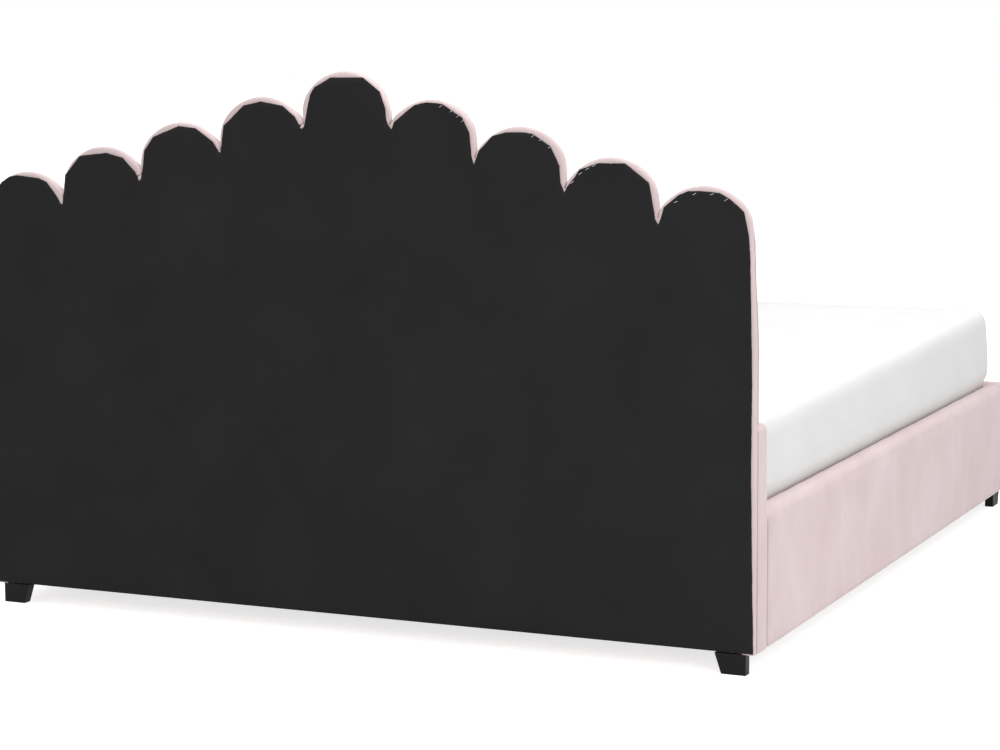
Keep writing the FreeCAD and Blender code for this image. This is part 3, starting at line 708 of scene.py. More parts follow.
def lobe_line(index):
    """One lobe's outline with its half of the crease at each side, from its -X end to its +X end."""
    x, z = lobe_middle(index)
    start = math.pi - (joins(index - 1, index) if index > 0 else 0)
    end = joins(index, index) if index < lobe_count - 1 else 0
    round_top = [tuple(point) for point in pulled_in(arc((x, z), lobe_radius, start, end), index)]
    if index > 0:
        foot = crease_foot(index - 1)
        before = run((foot[0] + crease_end, foot[1]), round_top[0], crease_open)
    else:
        before = [(wrap_lo.x + side_inset(h), h) for h in np.arange(wrap_lo.z, z, path_step)]
    if index < lobe_count - 1:
        foot = crease_foot(index)
        after = run(round_top[-1], (foot[0] - crease_end, foot[1]), -crease_open)[1:]
        after.append((foot[0] - crease_end, foot[1]))
    else:
        after = [(wrap_hi.x - side_inset(h), h) for h in np.arange(wrap_lo.z, z, path_step)[::-1]]
    return softened(before + round_top + after, 12)


def edge_line():
    """The whole outline, from the foot of the -X side to the foot of the +X side, and each point's lobe."""
    lines, owners = [], []
    for index in range(lobe_count):
        line = lobe_line(index)
        if index < lobe_count - 1:
            turn = arc(crease_foot(index), crease_end, math.pi, 2 * math.pi, 0.15 * mm)
            line = np.concatenate([line, np.array(turn[1:-1])])
        lines.append(line)
        owners.append(np.full(len(line), index))
    return np.concatenate(lines), np.concatenate(owners)


edge, edge_lobe = edge_line()

# %% How the velvet gathers
pinch_lift = 2.4 * mm
lobe_fullness = [5, 1.5, 4, 0.5, 1, 3, 3, 4, 2]


def gathered_height(points):
    """How far the velvet at a notch lifts what lies at each point (x, z) of the back."""
    lift = np.zeros(len(points))
    for gap in range(lobe_count - 1):
        foot = crease_foot(gap)
        away = np.hypot(points[:, 0] - foot[0], (points[:, 1] - foot[1]) * 0.8)
        lift = np.maximum(lift, 1 - eased((away - 20 * mm) / (46 * mm)))
    return lift * pinch_lift


def pinch_at(line):
    """1 along the creases and 0 a little way up the lobes."""
    pinch = np.zeros(len(line))
    for gap in range(lobe_count - 1):
        foot = crease_foot(gap)
        away = np.hypot(line[:, 0] - foot[0], line[:, 1] - foot[1])
        pinch = np.maximum(pinch, 1 - eased((away - 22 * mm) / (24 * mm)))
    return pinch


def beside_next_lobe():
    """How far each point of the outline is from the next lobe's: under a millimetre in the creases."""
    distance = np.full(len(edge), 1.0)
    for index in range(lobe_count):
        own = edge_lobe == index
        others = edge[abs(edge_lobe - index) == 1]
        gaps = np.linalg.norm(edge[own][:, None, :] - others[None, :, :], axis=2)
        distance[own] = gaps.min(axis=1)
    return distance


def fullness():
    """How far the velvet stands proud at each point: fuller over a lobe's top than at its sides."""
    middles = np.array([lobe_middle(index) for index in edge_lobe])
    height = (edge[:, 1] - middles[:, 1]) / lobe_radius
    return np.array(lobe_fullness)[edge_lobe] * mm * eased((height - 0.25) / 0.5)


def seam_shift():
    """How far each point has moved along X by the board's front, where its channel's seams hold it."""
    softest = 6 * mm
    shift = np.zeros(len(edge))
    beside = beside_next_lobe()
    for index in range(lobe_count):
        own = edge_lobe == index
        x, height = edge[own][:, 0], edge[own][:, 1]
        low, high = channel_sides(index, height)
        under, over = low - x, x - high
        bend = softest * eased((height - lobe_middle(index)[1] + 30 * mm) / (40 * mm))
        inwards = under + np.sqrt(under ** 2 + bend ** 2) - over - np.sqrt(over ** 2 + bend ** 2)
        in_crease = 1 - eased((beside[own] - 1 * mm) / (9 * mm))
        seam = np.where(x > lobe_middle(index)[0], high, low)
        shift[own] = 0.5 * inwards * (1 - in_crease) + (seam - x) * in_crease
    return np.convolve(np.pad(shift, 4, mode="edge"), np.ones(9) / 9, mode="valid")


print("the velvet stands", round(float(fullness().max()) / mm, 1), "mm proud at the most")
print("and is drawn in by up to", round(float(np.abs(seam_shift()).max()) / mm, 1), "mm at its front")

# %% The velvet strip
turn_in = 27 * mm
roll_radius = 7 * mm
pinched_roll = 4.0 * mm
velvet_thick = 1.2 * mm


def outward(line):
    """The direction out of the board at each point of the line."""
    along = np.gradient(line, axis=0)
    along /= np.linalg.norm(along, axis=1)[:, None] + 1e-12
    return np.stack([-along[:, 1], along[:, 0]], axis=1)


def bend_radius(line):
    """The radius of the line's outward bends, and a large number where it is straight."""
    along = np.gradient(line, axis=0)
    heading = np.unwrap(np.arctan2(along[:, 1], along[:, 0]))
    turning = -np.gradient(heading) / (np.linalg.norm(along, axis=1) + 1e-12)
    turning = np.convolve(np.maximum(turning, 1e-3), np.ones(9) / 9, mode="same")
    return 1 / np.maximum(turning, 1e-3)


def section_rows():
    """The strip's rows: how far out of the line, the row's Y, and how far it is moved along X."""
    pinch = pinch_at(edge)
    width = np.minimum(turn_in, np.maximum(0.85 * bend_radius(edge), 9 * mm * (pinch > 0.5)))
    width = np.convolve(np.pad(width, 6, mode="edge"), np.ones(13) / 13, mode="valid")
    lie = back_face + 0.3 * mm
    flat = lie + gathered_height(edge)
    roll = roll_radius * (1 - pinch) + pinched_roll * pinch
    wobble = roughly(np.column_stack([edge, np.zeros(len(edge))]), 34.0, 1) * 0.5 * mm * (1 - pinch)
    proud = fullness() + wobble
    meeting = np.minimum(beside_next_lobe() / 2, 1 * mm) * (beside_next_lobe() < 3 * mm)
    shift = seam_shift()
    rows = [(-np.maximum(width * share, roll + 0.5 * mm), None, 0 * shift) for share in (1.0, 0.8, 0.6, 0.45)]
    for turn in np.linspace(0, math.pi / 2, 7):
        out = roll * (math.sin(turn) - 1) + (proud + meeting) * math.sin(turn)
        rows.append((out, flat - roll * (1 - math.cos(turn)), 0 * shift))
    for depth, tuck, share, drawn in ((10, 0.1, 1.0, 0.2), (13, 0.3, 0.9, 0.5), (16.5, 0.9, 0.7, 0.85),
                                      (19.6, 1.7, 0.5, 1.0)):
        out = proud * share + meeting - tuck * mm * (1 - pinch)
        rows.append((out, np.full(len(edge), back_face - depth * mm), shift * drawn))
    return rows, lie


def velvet_strip():
    """The sweep of the section along the line, as one open sheet."""
    normal = outward(edge)
    rows, lie = section_rows()
    count = len(edge)
    vertices = np.zeros((count, len(rows), 3))
    for row, (out, y, moved) in enumerate(rows):
        flat = edge + normal * out[:, None]
        vertices[:, row, 0] = flat[:, 0] + moved
        vertices[:, row, 1] = lie + gathered_height(flat) if y is None else y
        vertices[:, row, 2] = np.maximum(flat[:, 1], wrap_lo.z)
    faces = []
    for i in range(count - 1):
        for row in range(len(rows) - 1):
            a = i * len(rows) + row
            faces.append((a, a + 1, a + len(rows) + 1, a + len(rows)))
    mesh = bpy.data.meshes.new("headboard_edge_velvet")
    mesh.from_pydata(vertices.reshape(-1, 3).tolist(), [], faces)
    # Painted shade: the velvet that dips into a crease between two lobes is painted dark pink, the deeper the
    # darker.
    depth = np.clip((lie + pinch_lift - 0.3 * mm - vertices[..., 1]) / (1.2 * mm), 0, 1)
    in_crease = (1 - eased((beside_next_lobe() - 1.5 * mm) / (3 * mm)))[:, None]
    give(mesh, "fold", depth * in_crease)
    return mesh


strip_mesh = velvet_strip()
edge_velvet = new_piece("headboard_edge_velvet", strip_mesh, velvet)
thickened(edge_velvet, velvet_thick)
stands_for(edge_velvet, "headboard_edge_wrap", "frame")

# %% [markdown]
# ## The board behind the lobes
# The board that the velvet wraps is sawn from plywood. The saw followed the lobes and went into each crease,
# and it leans in a little towards the front at the channels' seams, so it is cut here to the velvet's own
# line. That keeps the wood a few millimetres inside the velvet all the way round.

# %% The sawn board
board_lo, board_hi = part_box("headboard_board")
board_inside = 4.2 * mm


def sawn_board():
    keep = beside_next_lobe() > 3.5 * mm
    keep[1::2] = False
    line = edge - outward(edge) * board_inside
    shift = seam_shift()
    shape = bmesh.new()
    rings = []
    for y, moved in ((board_hi.y, 0 * shift), (board_lo.y, shift)):
        flat = np.column_stack([line[:, 0] + moved, np.maximum(line[:, 1], board_lo.z)])[keep]
        ring = [shape.verts.new((x, y, z)) for x, z in flat]
        outline = [Vector(point) for point in flat[::-1]]
        triangles = delaunay_2d_cdt(outline, [], [list(range(len(ring)))], 1, 1e-7)[2]
        for triangle in triangles:
            shape.faces.new([ring[len(ring) - 1 - corner] for corner in triangle])
        rings.append(ring)
    rear_ring, front_ring = rings
    count = len(rear_ring)
    for i in range(count):
        after = (i + 1) % count
        shape.faces.new((rear_ring[after], rear_ring[i], front_ring[i], front_ring[after]))
    bmesh.ops.recalc_face_normals(shape, faces=shape.faces)
    return mesh_from(shape, "headboard_board_sawn")


board_piece = new_piece("headboard_board_sawn", sawn_board(), finishes["plywood"], smooth=False)
stands_for(board_piece, "headboard_board", "frame")
print("board:", len(board_piece.data.polygons), "faces")

# %% [markdown]
# ## The black cloth on the back
# The cloth is cut by hand with shears, so each lobe is a few straight snips rather than a curve, and it
# stops a little short of the velvet's edge. The snips of each lobe are given as the angle of a corner round
# the lobe's middle and how far it lies inside the velvet's edge, and between two lobes the cloth is slit
# down to a point. The flat shape is then cut into a fine grid, so that it can ripple between its staples and
# ride up over the gathered velvet.

# %% The cut of the cloth
cloth_cuts = [
    [(178, 14), (160, 9), (143, 2), (126, 0), (114, 0), (104, 3), (72, 7), (60, 6), (36, 11), (26, 12)],
    [(174, 9), (168, 10), (152, 1), (122, 0), (84, 9), (60, 6), (36, 6), (24, 8)],
    [(168, 15), (150, 6), (130, 4), (92, 5), (70, 2), (42, 1), (28, 2)],
    [(174, 14), (151, 6), (114, 7), (90, 7), (61, 2), (42, 1), (26, 3)],
    [(178, 18), (160, 19), (142, 9), (132, 6), (108, 7), (66, 2), (40, 2), (20, 8), (9, 12), (3, 10)],
    [(150, 10), (142, 6), (110, 5), (94, 5), (75, 5), (46, 7), (27, 12), (10, 18), (-1, 18)],
    [(144, 1), (122, -1), (106, 4), (82, 7), (73, 6), (47, 8), (22, 14), (2, 19)],
    [(151, 5), (137, 7), (127, 2), (104, 8), (72, 5), (37, 6), (11, 16), (-5, 13)],
    [(152, 9), (139, 1), (119, 1), (107, 1), (95, 5), (72, 3), (58, 4), (38, 3), (13, 14)],
]
side_cuts = [(888 * mm, 13 * mm), (630 * mm, 7.5 * mm), (420 * mm, 8.5 * mm), (166 * mm, 4 * mm)]
cloth_foot = (48 * mm, 1.5 * mm)


def cloth_corners():
    """The cut's corners, from the foot of the +X side over the lobes to the foot of the -X side."""
    corners = [(wrap_hi.x - inset, height) for height, inset in (cloth_foot, *side_cuts[::-1])]
    for place_from_left, cuts in enumerate(cloth_cuts):
        index = lobe_count - 1 - place_from_left
        x, z = lobe_middle(index)
        if place_from_left > 0:
            corners.append(notch_tip(index))
        for degrees, inset in cuts:
            angle = math.radians(180 - degrees)
            reach = lobe_radius - inset * mm
            corners.append((x + reach * math.cos(angle), z + reach * math.sin(angle)))
    corners += [(wrap_lo.x + inset, height) for height, inset in (*side_cuts, cloth_foot)]
    return corners


cut = cloth_corners()

# %% The cloth, gridded and rippled
cloth_grid = 14 * mm
cloth_thick = 0.6 * mm
cloth_lie = back_face + 1.9 * mm


def nearest_edge(points, corners):
    """How far each point (x, z) lies from the cut's edge."""
    distance = np.full(len(points), 9.0)
    for one, two in zip(corners, corners[1:] + corners[:1]):
        a, b = np.array(one), np.array(two)
        along = np.clip(((points - a) @ (b - a)) / ((b - a) @ (b - a)), 0, 1)
        distance = np.minimum(distance, np.linalg.norm(points - a - along[:, None] * (b - a), axis=1))
    return distance


def back_cloth_mesh():
    shape = bmesh.new()
    corners = [shape.verts.new((x, cloth_lie, z)) for x, z in cut]
    shape.faces.new(corners)
    for axis, low, high in ((0, wrap_lo.x, wrap_hi.x), (2, wrap_lo.z, wrap_hi.z)):
        normal = [0, 0, 0]
        normal[axis] = 1
        for position in np.arange(low + cloth_grid, high, cloth_grid):
            point = [0, 0, 0]
            point[axis] = position
            whole = shape.verts[:] + shape.edges[:] + shape.faces[:]
            bmesh.ops.bisect_plane(shape, geom=whole, plane_co=point, plane_no=normal)
    bmesh.ops.triangulate(shape, faces=[face for face in shape.faces if len(face.verts) > 4])
    return mesh_from(shape, "headboard_back_cover")


def ripple_cloth(mesh):
    points = points_of(mesh)
    flat = points[:, [0, 2]]
    inside = nearest_edge(flat, cut)
    near_edge = 1 - eased(inside / (60 * mm))
    puckers = roughly(points * (1, 0, 1), 26.0, 3) * 0.45 * mm * near_edge * eased(inside / (10 * mm))
    slack = roughly(points * (1, 0, 0.5), 3.2, 4) * 1.3 * mm * eased(inside / (120 * mm))
    points[:, 1] += np.abs(slack) + puckers + gathered_height(flat)
    shaky = 0.8 * mm * (1 - eased(inside / (8 * mm))) * (points[:, 2] > wrap_lo.z + 20 * mm)
    points[:, 0] += roughly(points, 55.0, 5) * shaky
    points[:, 2] += roughly(points, 55.0, 6) * shaky
    set_points(mesh, points)


cloth_mesh = back_cloth_mesh()
ripple_cloth(cloth_mesh)
back_cover = new_piece("headboard_back_cover", cloth_mesh, dust_cloth)
if sum(face.normal.y for face in cloth_mesh.polygons) < 0:
    cloth_mesh.flip_normals()
thickened(back_cover, cloth_thick)
stands_for(back_cover, "headboard_back_cloth", "frame")
print("back cover:", len(back_cover.data.polygons), "faces")

# %% [markdown]
# ## How a padded piece is made
# Foam under velvet has no flat faces: the cover is tight where it is stapled or sewn, and swells between.
# Each padded piece starts as a closed form a little smaller than the real one. Cloth simulation then blows
# it up like a cushion, with no gravity, while its held points stay where the staples and seams are. Foam
# stops a cover from swelling far, so every point has a limit to how far it may go. One subdivision smooths
# the result.

# %% Padding helpers


def normals_of(mesh):
    flat = np.zeros(len(mesh.vertices) * 3)
    mesh.vertices.foreach_get("normal", flat)
    return flat.reshape(-1, 3)


firm_foam = 0.6


def swell(piece, limits, slack=0.01, pressure=4.0):
    """Blows a closed piece up; limits say how far out each point may go, and a point with none is held."""
    mesh = piece.data
    start, normals = points_of(mesh), normals_of(mesh)
    held = piece.vertex_groups.new(name="held")
    held.add([int(i) for i in np.nonzero(limits < 0.05 * mm)[0]], 1.0, "REPLACE")
    cloth = piece.modifiers.new("padding", "CLOTH")
    cloth.settings.vertex_group_mass = "held"
    cloth.settings.use_pressure = True
    cloth.settings.uniform_pressure_force = pressure
    cloth.settings.effector_weights.gravity = 0
    cloth.settings.shrink_min = -slack
    for frame_number in range(1, 21):
        scene.frame_set(frame_number)
    graph = bpy.context.evaluated_depsgraph_get()
    moved = points_of(piece.evaluated_get(graph).data)
    piece.modifiers.remove(cloth)
    piece.vertex_groups.clear()
    scene.frame_set(1)
    outwards = np.einsum("ij,ij->i", moved - start, normals)
    outwards = np.clip(outwards, limits * firm_foam, limits)
    set_points(mesh, start + normals * outwards[:, None])
    return piece


def subdivided(piece):
    smooth = piece.modifiers.new("smooth", "SUBSURF")
    smooth.levels = 1
    smooth.render_levels = 1
    made_plain(piece)
    make_smooth(piece.data)
    return piece


def declare(piece, node, body):
    """Says what a padded piece stands for."""
    stands_for(piece, node, body)


# %% [markdown]
# ## The nine channels on the headboard's front
# From the front the headboard is a row of upright channels, like a shell. Each is a sleeve of foam under
# velvet, sewn to its neighbours, and its front bows like a barrel. Its plan comes from the lobe above it.
# The thickness falls to nothing at the seams and round the lobe, and the velvet gathers there in small
# puckers.

# %% Channel shapes
channel_columns = 28
channel_row = 7.5 * mm
channel_thickness = 38 * mm
channel_swell = 9 * mm
channel_rear = pad_boxes[0][1].y
channel_low = pad_boxes[0][0].z


def channel_rim(index, x):
    """The height of a channel's top edge at x: its lobe, a little inside the velvet's front edge."""
    middle_x, middle_z = lobe_middle(index)
    across = np.clip((x - middle_x) / lobe_radius, -1, 1)
    low_x, high_x = channel_sides(index, middle_z)
    shoulder = np.clip(np.abs(2 * x - low_x - high_x) / (high_x - low_x), 0, 1)
    height = np.minimum(np.sqrt(1 - across ** 2), np.sqrt(1 - shoulder ** 3))
    radius = lobe_radius - 1.5 * mm + lobe_fullness[index] * 0.5 * mm * eased((height - 0.25) / 0.5)
    low_foot = crease_foot(index - 1)[1] if index else middle_z
    high_foot = crease_foot(index)[1] if index < lobe_count - 1 else middle_z
    foot = np.where(x < middle_x, low_foot, high_foot) + 1 * mm
    return np.maximum(middle_z + height * radius, foot)


def channel_mesh(index):
    """A closed form with a flat back and a bowed front, and how deep inside its rim each point is."""
    middle_x, middle_z = lobe_middle(index)
    turn = np.linspace(-1, 1, channel_columns)
    across = 0.5 + 0.5 * (0.6 * turn + 0.4 * np.sin(turn * math.pi / 2))
    low_x, high_x = channel_sides(index, middle_z)
    tops = channel_rim(index, low_x + (high_x - low_x) * across)
    rows = int((tops.max() - channel_low) / channel_row)
    share = np.linspace(0, 1, rows)
    z = channel_low + (tops - channel_low)[:, None] * share[None, :]
    low_x, high_x = channel_sides(index, z)
    x = low_x + (high_x - low_x) * across[:, None]
    across = np.repeat(across[:, None], rows, axis=1)
    reach = np.hypot(x - middle_x, np.maximum(z - middle_z, 0))
    inside = np.minimum(np.minimum(across, 1 - across) * (high_x - low_x), np.maximum(lobe_radius - reach, 0))
    inside = np.where(share[None, :] > 0.999, 0, inside)
    bow = 1 - (1 - np.clip(inside / ((high_x - low_x) / 2), 0, 1)) ** 2.2
    foot = 0.72 + 0.28 * eased((z - channel_low) / (40 * mm))
    front_y = channel_rear - 1.2 * mm - channel_thickness * bow * foot
    rear_y = np.full_like(front_y, channel_rear)
    grid = np.arange(x.size).reshape(x.shape)
    faces = []
    for a in range(channel_columns - 1):
        for b in range(rows - 1):
            quad = (grid[a, b], grid[a + 1, b], grid[a + 1, b + 1], grid[a, b + 1])
            faces.append(tuple(int(v) for v in quad))
            faces.append(tuple(int(v) + x.size for v in quad[::-1]))
    rim = np.concatenate([grid[:, 0], grid[-1, 1:], grid[-2::-1, -1], grid[0, -2:0:-1]])
    for one, two in zip(rim, np.roll(rim, -1)):
        faces.append((int(two), int(one), int(one) + x.size, int(two) + x.size))
    front = np.stack([x, front_y, z], axis=2).reshape(-1, 3)
    rear = np.stack([x, rear_y, z], axis=2).reshape(-1, 3)
    mesh = bpy.data.meshes.new(f"velvet_channel_{index + 1}")
    mesh.from_pydata(np.concatenate([front, rear]).tolist(), [], faces)
    # Painted shade: the velvet close to a channel's seams, below its lobe, is painted dark pink.
    deep = (1 - eased(inside / (5 * mm))) * (1 - eased((z - middle_z + 60 * mm) / (50 * mm)))
    give(mesh, "fold", 0.7 * np.concatenate([deep.ravel(), deep.ravel()]))
    return mesh, np.concatenate([inside.ravel(), np.zeros(x.size)])


def velvet_channel(index):
    mesh, inside = channel_mesh(index)
    piece = new_piece(mesh.name, mesh, velvet)
    limits = channel_swell * eased(inside / (55 * mm))
    swell(piece, limits, slack=0.02)
    points = points_of(mesh)
    near_rim = eased(inside / (6 * mm)) * (1 - eased((inside - 12 * mm) / (45 * mm)))
    puckers = roughly(points * (1, 0, 1), 42.0, 20 + index)
    points[:, 1] -= puckers * near_rim * 1.0 * mm
    set_points(mesh, points)
    subdivided(piece)
    declare(piece, f"channel_pad_{index + 1}", "frame")
    return piece


for index in range(lobe_count):
    channel = velvet_channel(index)
print("last channel:", len(channel.data.polygons), "faces")

# %% [markdown]
# ## Padded covers with square frames inside
# The box behind the mattress, the two rails and the footboard are boards in a jacket of foam and velvet.
# Each jacket starts as a block with rounded edges. A voxel remesh gives it an even skin for the simulation,
# and afterwards the room for the boards is cut out of it again, so the jacket fits round them as a real one
# does.

# %% Block helpers


def plain_block(low, high):
    """A block between two corners."""
    shape = bmesh.new()
    bmesh.ops.create_cube(shape, size=1.0)
    for vert in shape.verts:
        vert.co = Vector([low[i] + (vert.co[i] + 0.5) * (high[i] - low[i]) for i in range(3)])
    return shape


def soft_block(name, low, high, rounds, voxel):
    """A block whose edges are rounded one by one; each round is (axis of the edge, its two sides, radius)."""
    shape = plain_block(low, high)
    middle = (Vector(low) + Vector(high)) / 2
    for axis, sides, radius in rounds:
        others = [i for i in range(3) if i != axis]
        chosen = []
        for edge_of_block in shape.edges:
            along = edge_of_block.verts[1].co - edge_of_block.verts[0].co
            centre = (edge_of_block.verts[1].co + edge_of_block.verts[0].co) / 2
            beside = all((centre[i] - middle[i]) * side > 0.45 * (high[i] - low[i])
                         for i, side in zip(others, sides))
            if abs(along[axis]) > 0.8 * along.length and along.length > 0.02 and beside:
                chosen.append(edge_of_block)
        bmesh.ops.bevel(shape, geom=chosen, offset=radius, offset_type="OFFSET", segments=8, profile=0.5,
                        affect="EDGES", clamp_overlap=True)
    piece = new_piece(name, mesh_from(shape, name), velvet)
    skin = piece.modifiers.new("skin", "REMESH")
    skin.mode = "VOXEL"
    skin.voxel_size = voxel
    made_plain(piece)
    make_smooth(piece.data)
    return piece


cut_spare = 9 * mm


def cut_room(piece, *rooms):
    """Cuts blocks of room out of a piece."""
    for low, high in rooms:
        tool = bpy.data.objects.new("room", mesh_from(plain_block(low, high), "room"))
        scene.collection.objects.link(tool)
        cut_out = piece.modifiers.new("room", "BOOLEAN")
        cut_out.operation = "DIFFERENCE"
        cut_out.object = tool
        cut_out.solver = "EXACT"
        made_plain(piece)
        bpy.data.objects.remove(tool)
    return piece


x_axis, y_axis, z_axis = 0, 1, 2
room_gap = 0.3 * mm
past = 20 * mm

# %% The box behind the mattress
box_lo, box_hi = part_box("headboard_lower_cover")
panel_lo, panel_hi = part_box("headboard_front_panel")
box_top_round = 40 * mm
box_corner_round = 6 * mm
box_voxel = 10 * mm
box_front_swell = 5 * mm
box_top_swell = 5 * mm
box_end_swell = 1.6 * mm
box_corner_push = 7 * mm
box_corner_reach = 42 * mm


def lower_cover():
    rounds = [
        (z_axis, (-1, -1), box_corner_round), (z_axis, (1, -1), box_corner_round),
        (x_axis, (-1, 1), box_top_round),
        (y_axis, (-1, 1), box_corner_round), (y_axis, (1, 1), box_corner_round),
    ]
    low = Vector((box_lo.x - 0.5 * mm, box_lo.y + 2 * mm, box_lo.z - cut_spare))
    high = Vector((box_hi.x + 0.5 * mm, box_hi.y + cut_spare, box_hi.z - 5 * mm))
    piece = soft_block("velvet_lower_box", low, high, rounds, box_voxel)
    mesh = piece.data
    points, normals = points_of(mesh), normals_of(mesh)
    from_end = np.minimum(points[:, 0] - box_lo.x, box_hi.x - points[:, 0])
    rail_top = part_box("rail_cover_left")[1].z
    above_rails = eased((points[:, 2] - rail_top) / (60 * mm))
    bulge = 1.5 * mm + box_front_swell * above_rails
    front = np.clip(-normals[:, 1], 0, 1) * bulge * eased(from_end / (50 * mm))
    top = np.clip(normals[:, 2], 0, 1) * box_top_swell
    end = np.abs(normals[:, 0]) * box_end_swell
    off_back = eased((box_hi.y - points[:, 1]) / (10 * mm))
    limits = np.maximum(np.maximum(front, top), end) * off_back * (normals[:, 2] > -0.4)
    swell(piece, limits)
    points = points_of(mesh)
    to_end = np.clip(1 - from_end / box_corner_reach, 0, 1)
    push = box_corner_push * (1 - np.sqrt(1 - to_end ** 2)) * above_rails
    points[:, 1] += push * np.clip(1 - (points[:, 1] - box_lo.y) / (box_hi.y - box_lo.y), 0, 1)
    set_points(mesh, points)
    subdivided(piece)
    wood_low = (panel_lo.x - room_gap, panel_lo.y - room_gap, panel_lo.z - room_gap)
    wood_high = (panel_hi.x + room_gap, box_hi.y + past, panel_hi.z + room_gap)
    behind = ((box_lo.x * 1.1, box_hi.y - 0.3 * mm, -0.1), (box_hi.x * 1.1, box_hi.y + 0.1, 1.0))
    below = ((box_lo.x * 1.1, box_lo.y - 0.1, -0.1), (box_hi.x * 1.1, box_hi.y + 0.1, box_lo.z))
    cut_room(piece, (wood_low, wood_high), behind, below)
    declare(piece, "headboard_lower_cover", "frame")
    return piece


box_piece = lower_cover()
print("lower box:", len(box_piece.data.polygons), "faces")

# %% The rails and the footboard
rail_swell = 4 * mm
rail_crown = 16 * mm
foot_crown = 21 * mm
rail_voxel = 9 * mm
outer_round = 14 * mm
inner_round = 8 * mm
foot_corner_round = 10 * mm


def rail_cover(side, way):
    """A rail's jacket; way is -1 for the left rail, at -X, and 1 for the right one."""
    cover_lo, cover_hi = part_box(f"rail_cover_{side}")
    board_lo, board_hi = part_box(f"rail_board_{side}")
    strip_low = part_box("slat_caps_left")[1].z + 2 * mm
    outer, inner = (1, -1) if way > 0 else (-1, 1)
    rounds = [(y_axis, (outer, 1), outer_round), (y_axis, (inner, 1), inner_round)]
    low, high = Vector(cover_lo), Vector(cover_hi)
    low.y -= cut_spare
    high.y += cut_spare
    low.z -= cut_spare
    if way > 0:
        high.x -= 2 * mm
    else:
        low.x += 2 * mm
    high.z -= 1 * mm
    piece = soft_block(f"velvet_rail_{side}", low, high, rounds, rail_voxel)
    mesh = piece.data
    points, normals = points_of(mesh), normals_of(mesh)
    from_end = np.minimum(points[:, 1] - cover_lo.y, cover_hi.y - points[:, 1])
    outwards = np.clip(normals[:, 0] * way, 0, 1)
    upwards = np.clip(normals[:, 2], 0, 1) * (np.abs(normals[:, 1]) < 0.5)
    limits = np.maximum(outwards * rail_swell, upwards * rail_crown) * eased((from_end + 1 * mm) / (14 * mm))
    swell(piece, limits, slack=0.015)
    points = points_of(mesh)
    near_end = (1 - eased((from_end - 10 * mm) / (90 * mm))) * eased(from_end / (8 * mm))
    near_top = eased((points[:, 2] - cover_hi.z + 40 * mm) / (35 * mm))
    puckers = roughly(points * (0.2, 0.6, 0.4), 30.0, 41 + way) * (near_end * 0.5 + near_top) * 0.8 * mm
    slow = roughly(points * (0.2, 1.0, 1.0), 5.0, 43 + way) * 0.8 * mm * eased(from_end / (60 * mm))
    points[:, 0] += way * outwards * (puckers + slow)
    points[:, 2] += upwards * roughly(points * (0.2, 1.0, 0.2), 22.0, 45 + way) * 1.2 * mm
    set_points(mesh, points)
    subdivided(piece)
    # Painted shade: the velvet at each end of the rail, where it meets the box and the footboard, is painted
    # dark pink.
    along = points_of(piece.data)[:, 1]
    to_end = np.minimum(along - cover_lo.y, cover_hi.y - along)
    give(piece.data, "fold", 0.45 * (1 - eased(to_end / (5 * mm))))
    first_y, last_y = cover_lo.y - past, cover_hi.y + past
    board_low = (board_lo.x - room_gap, first_y, board_lo.z - room_gap)
    board_high = (board_hi.x + room_gap, last_y, board_hi.z + room_gap)
    if way > 0:
        bare = ((cover_lo.x - past, first_y, 0), (board_lo.x + 2 * mm, last_y, strip_low))
    else:
        bare = ((board_hi.x - 2 * mm, first_y, 0), (cover_hi.x + past, last_y, strip_low))
    near = ((-1.1, cover_lo.y - 0.1, -0.1), (1.1, cover_lo.y, 1.0))
    far = ((-1.1, cover_hi.y - 0.2 * mm, -0.1), (1.1, cover_hi.y + 0.1, 1.0))
    below = ((-1.1, cover_lo.y - 0.1, -0.1), (1.1, cover_hi.y + 0.1, cover_lo.z))
    cut_room(piece, (board_low, board_high), bare, near, far, below)
    declare(piece, f"rail_cover_{side}", "frame")
    return piece


for side, way in (("left", -1), ("right", 1)):
    rail = rail_cover(side, way)
    print("rail on the", side, "has", len(rail.data.polygons), "faces")


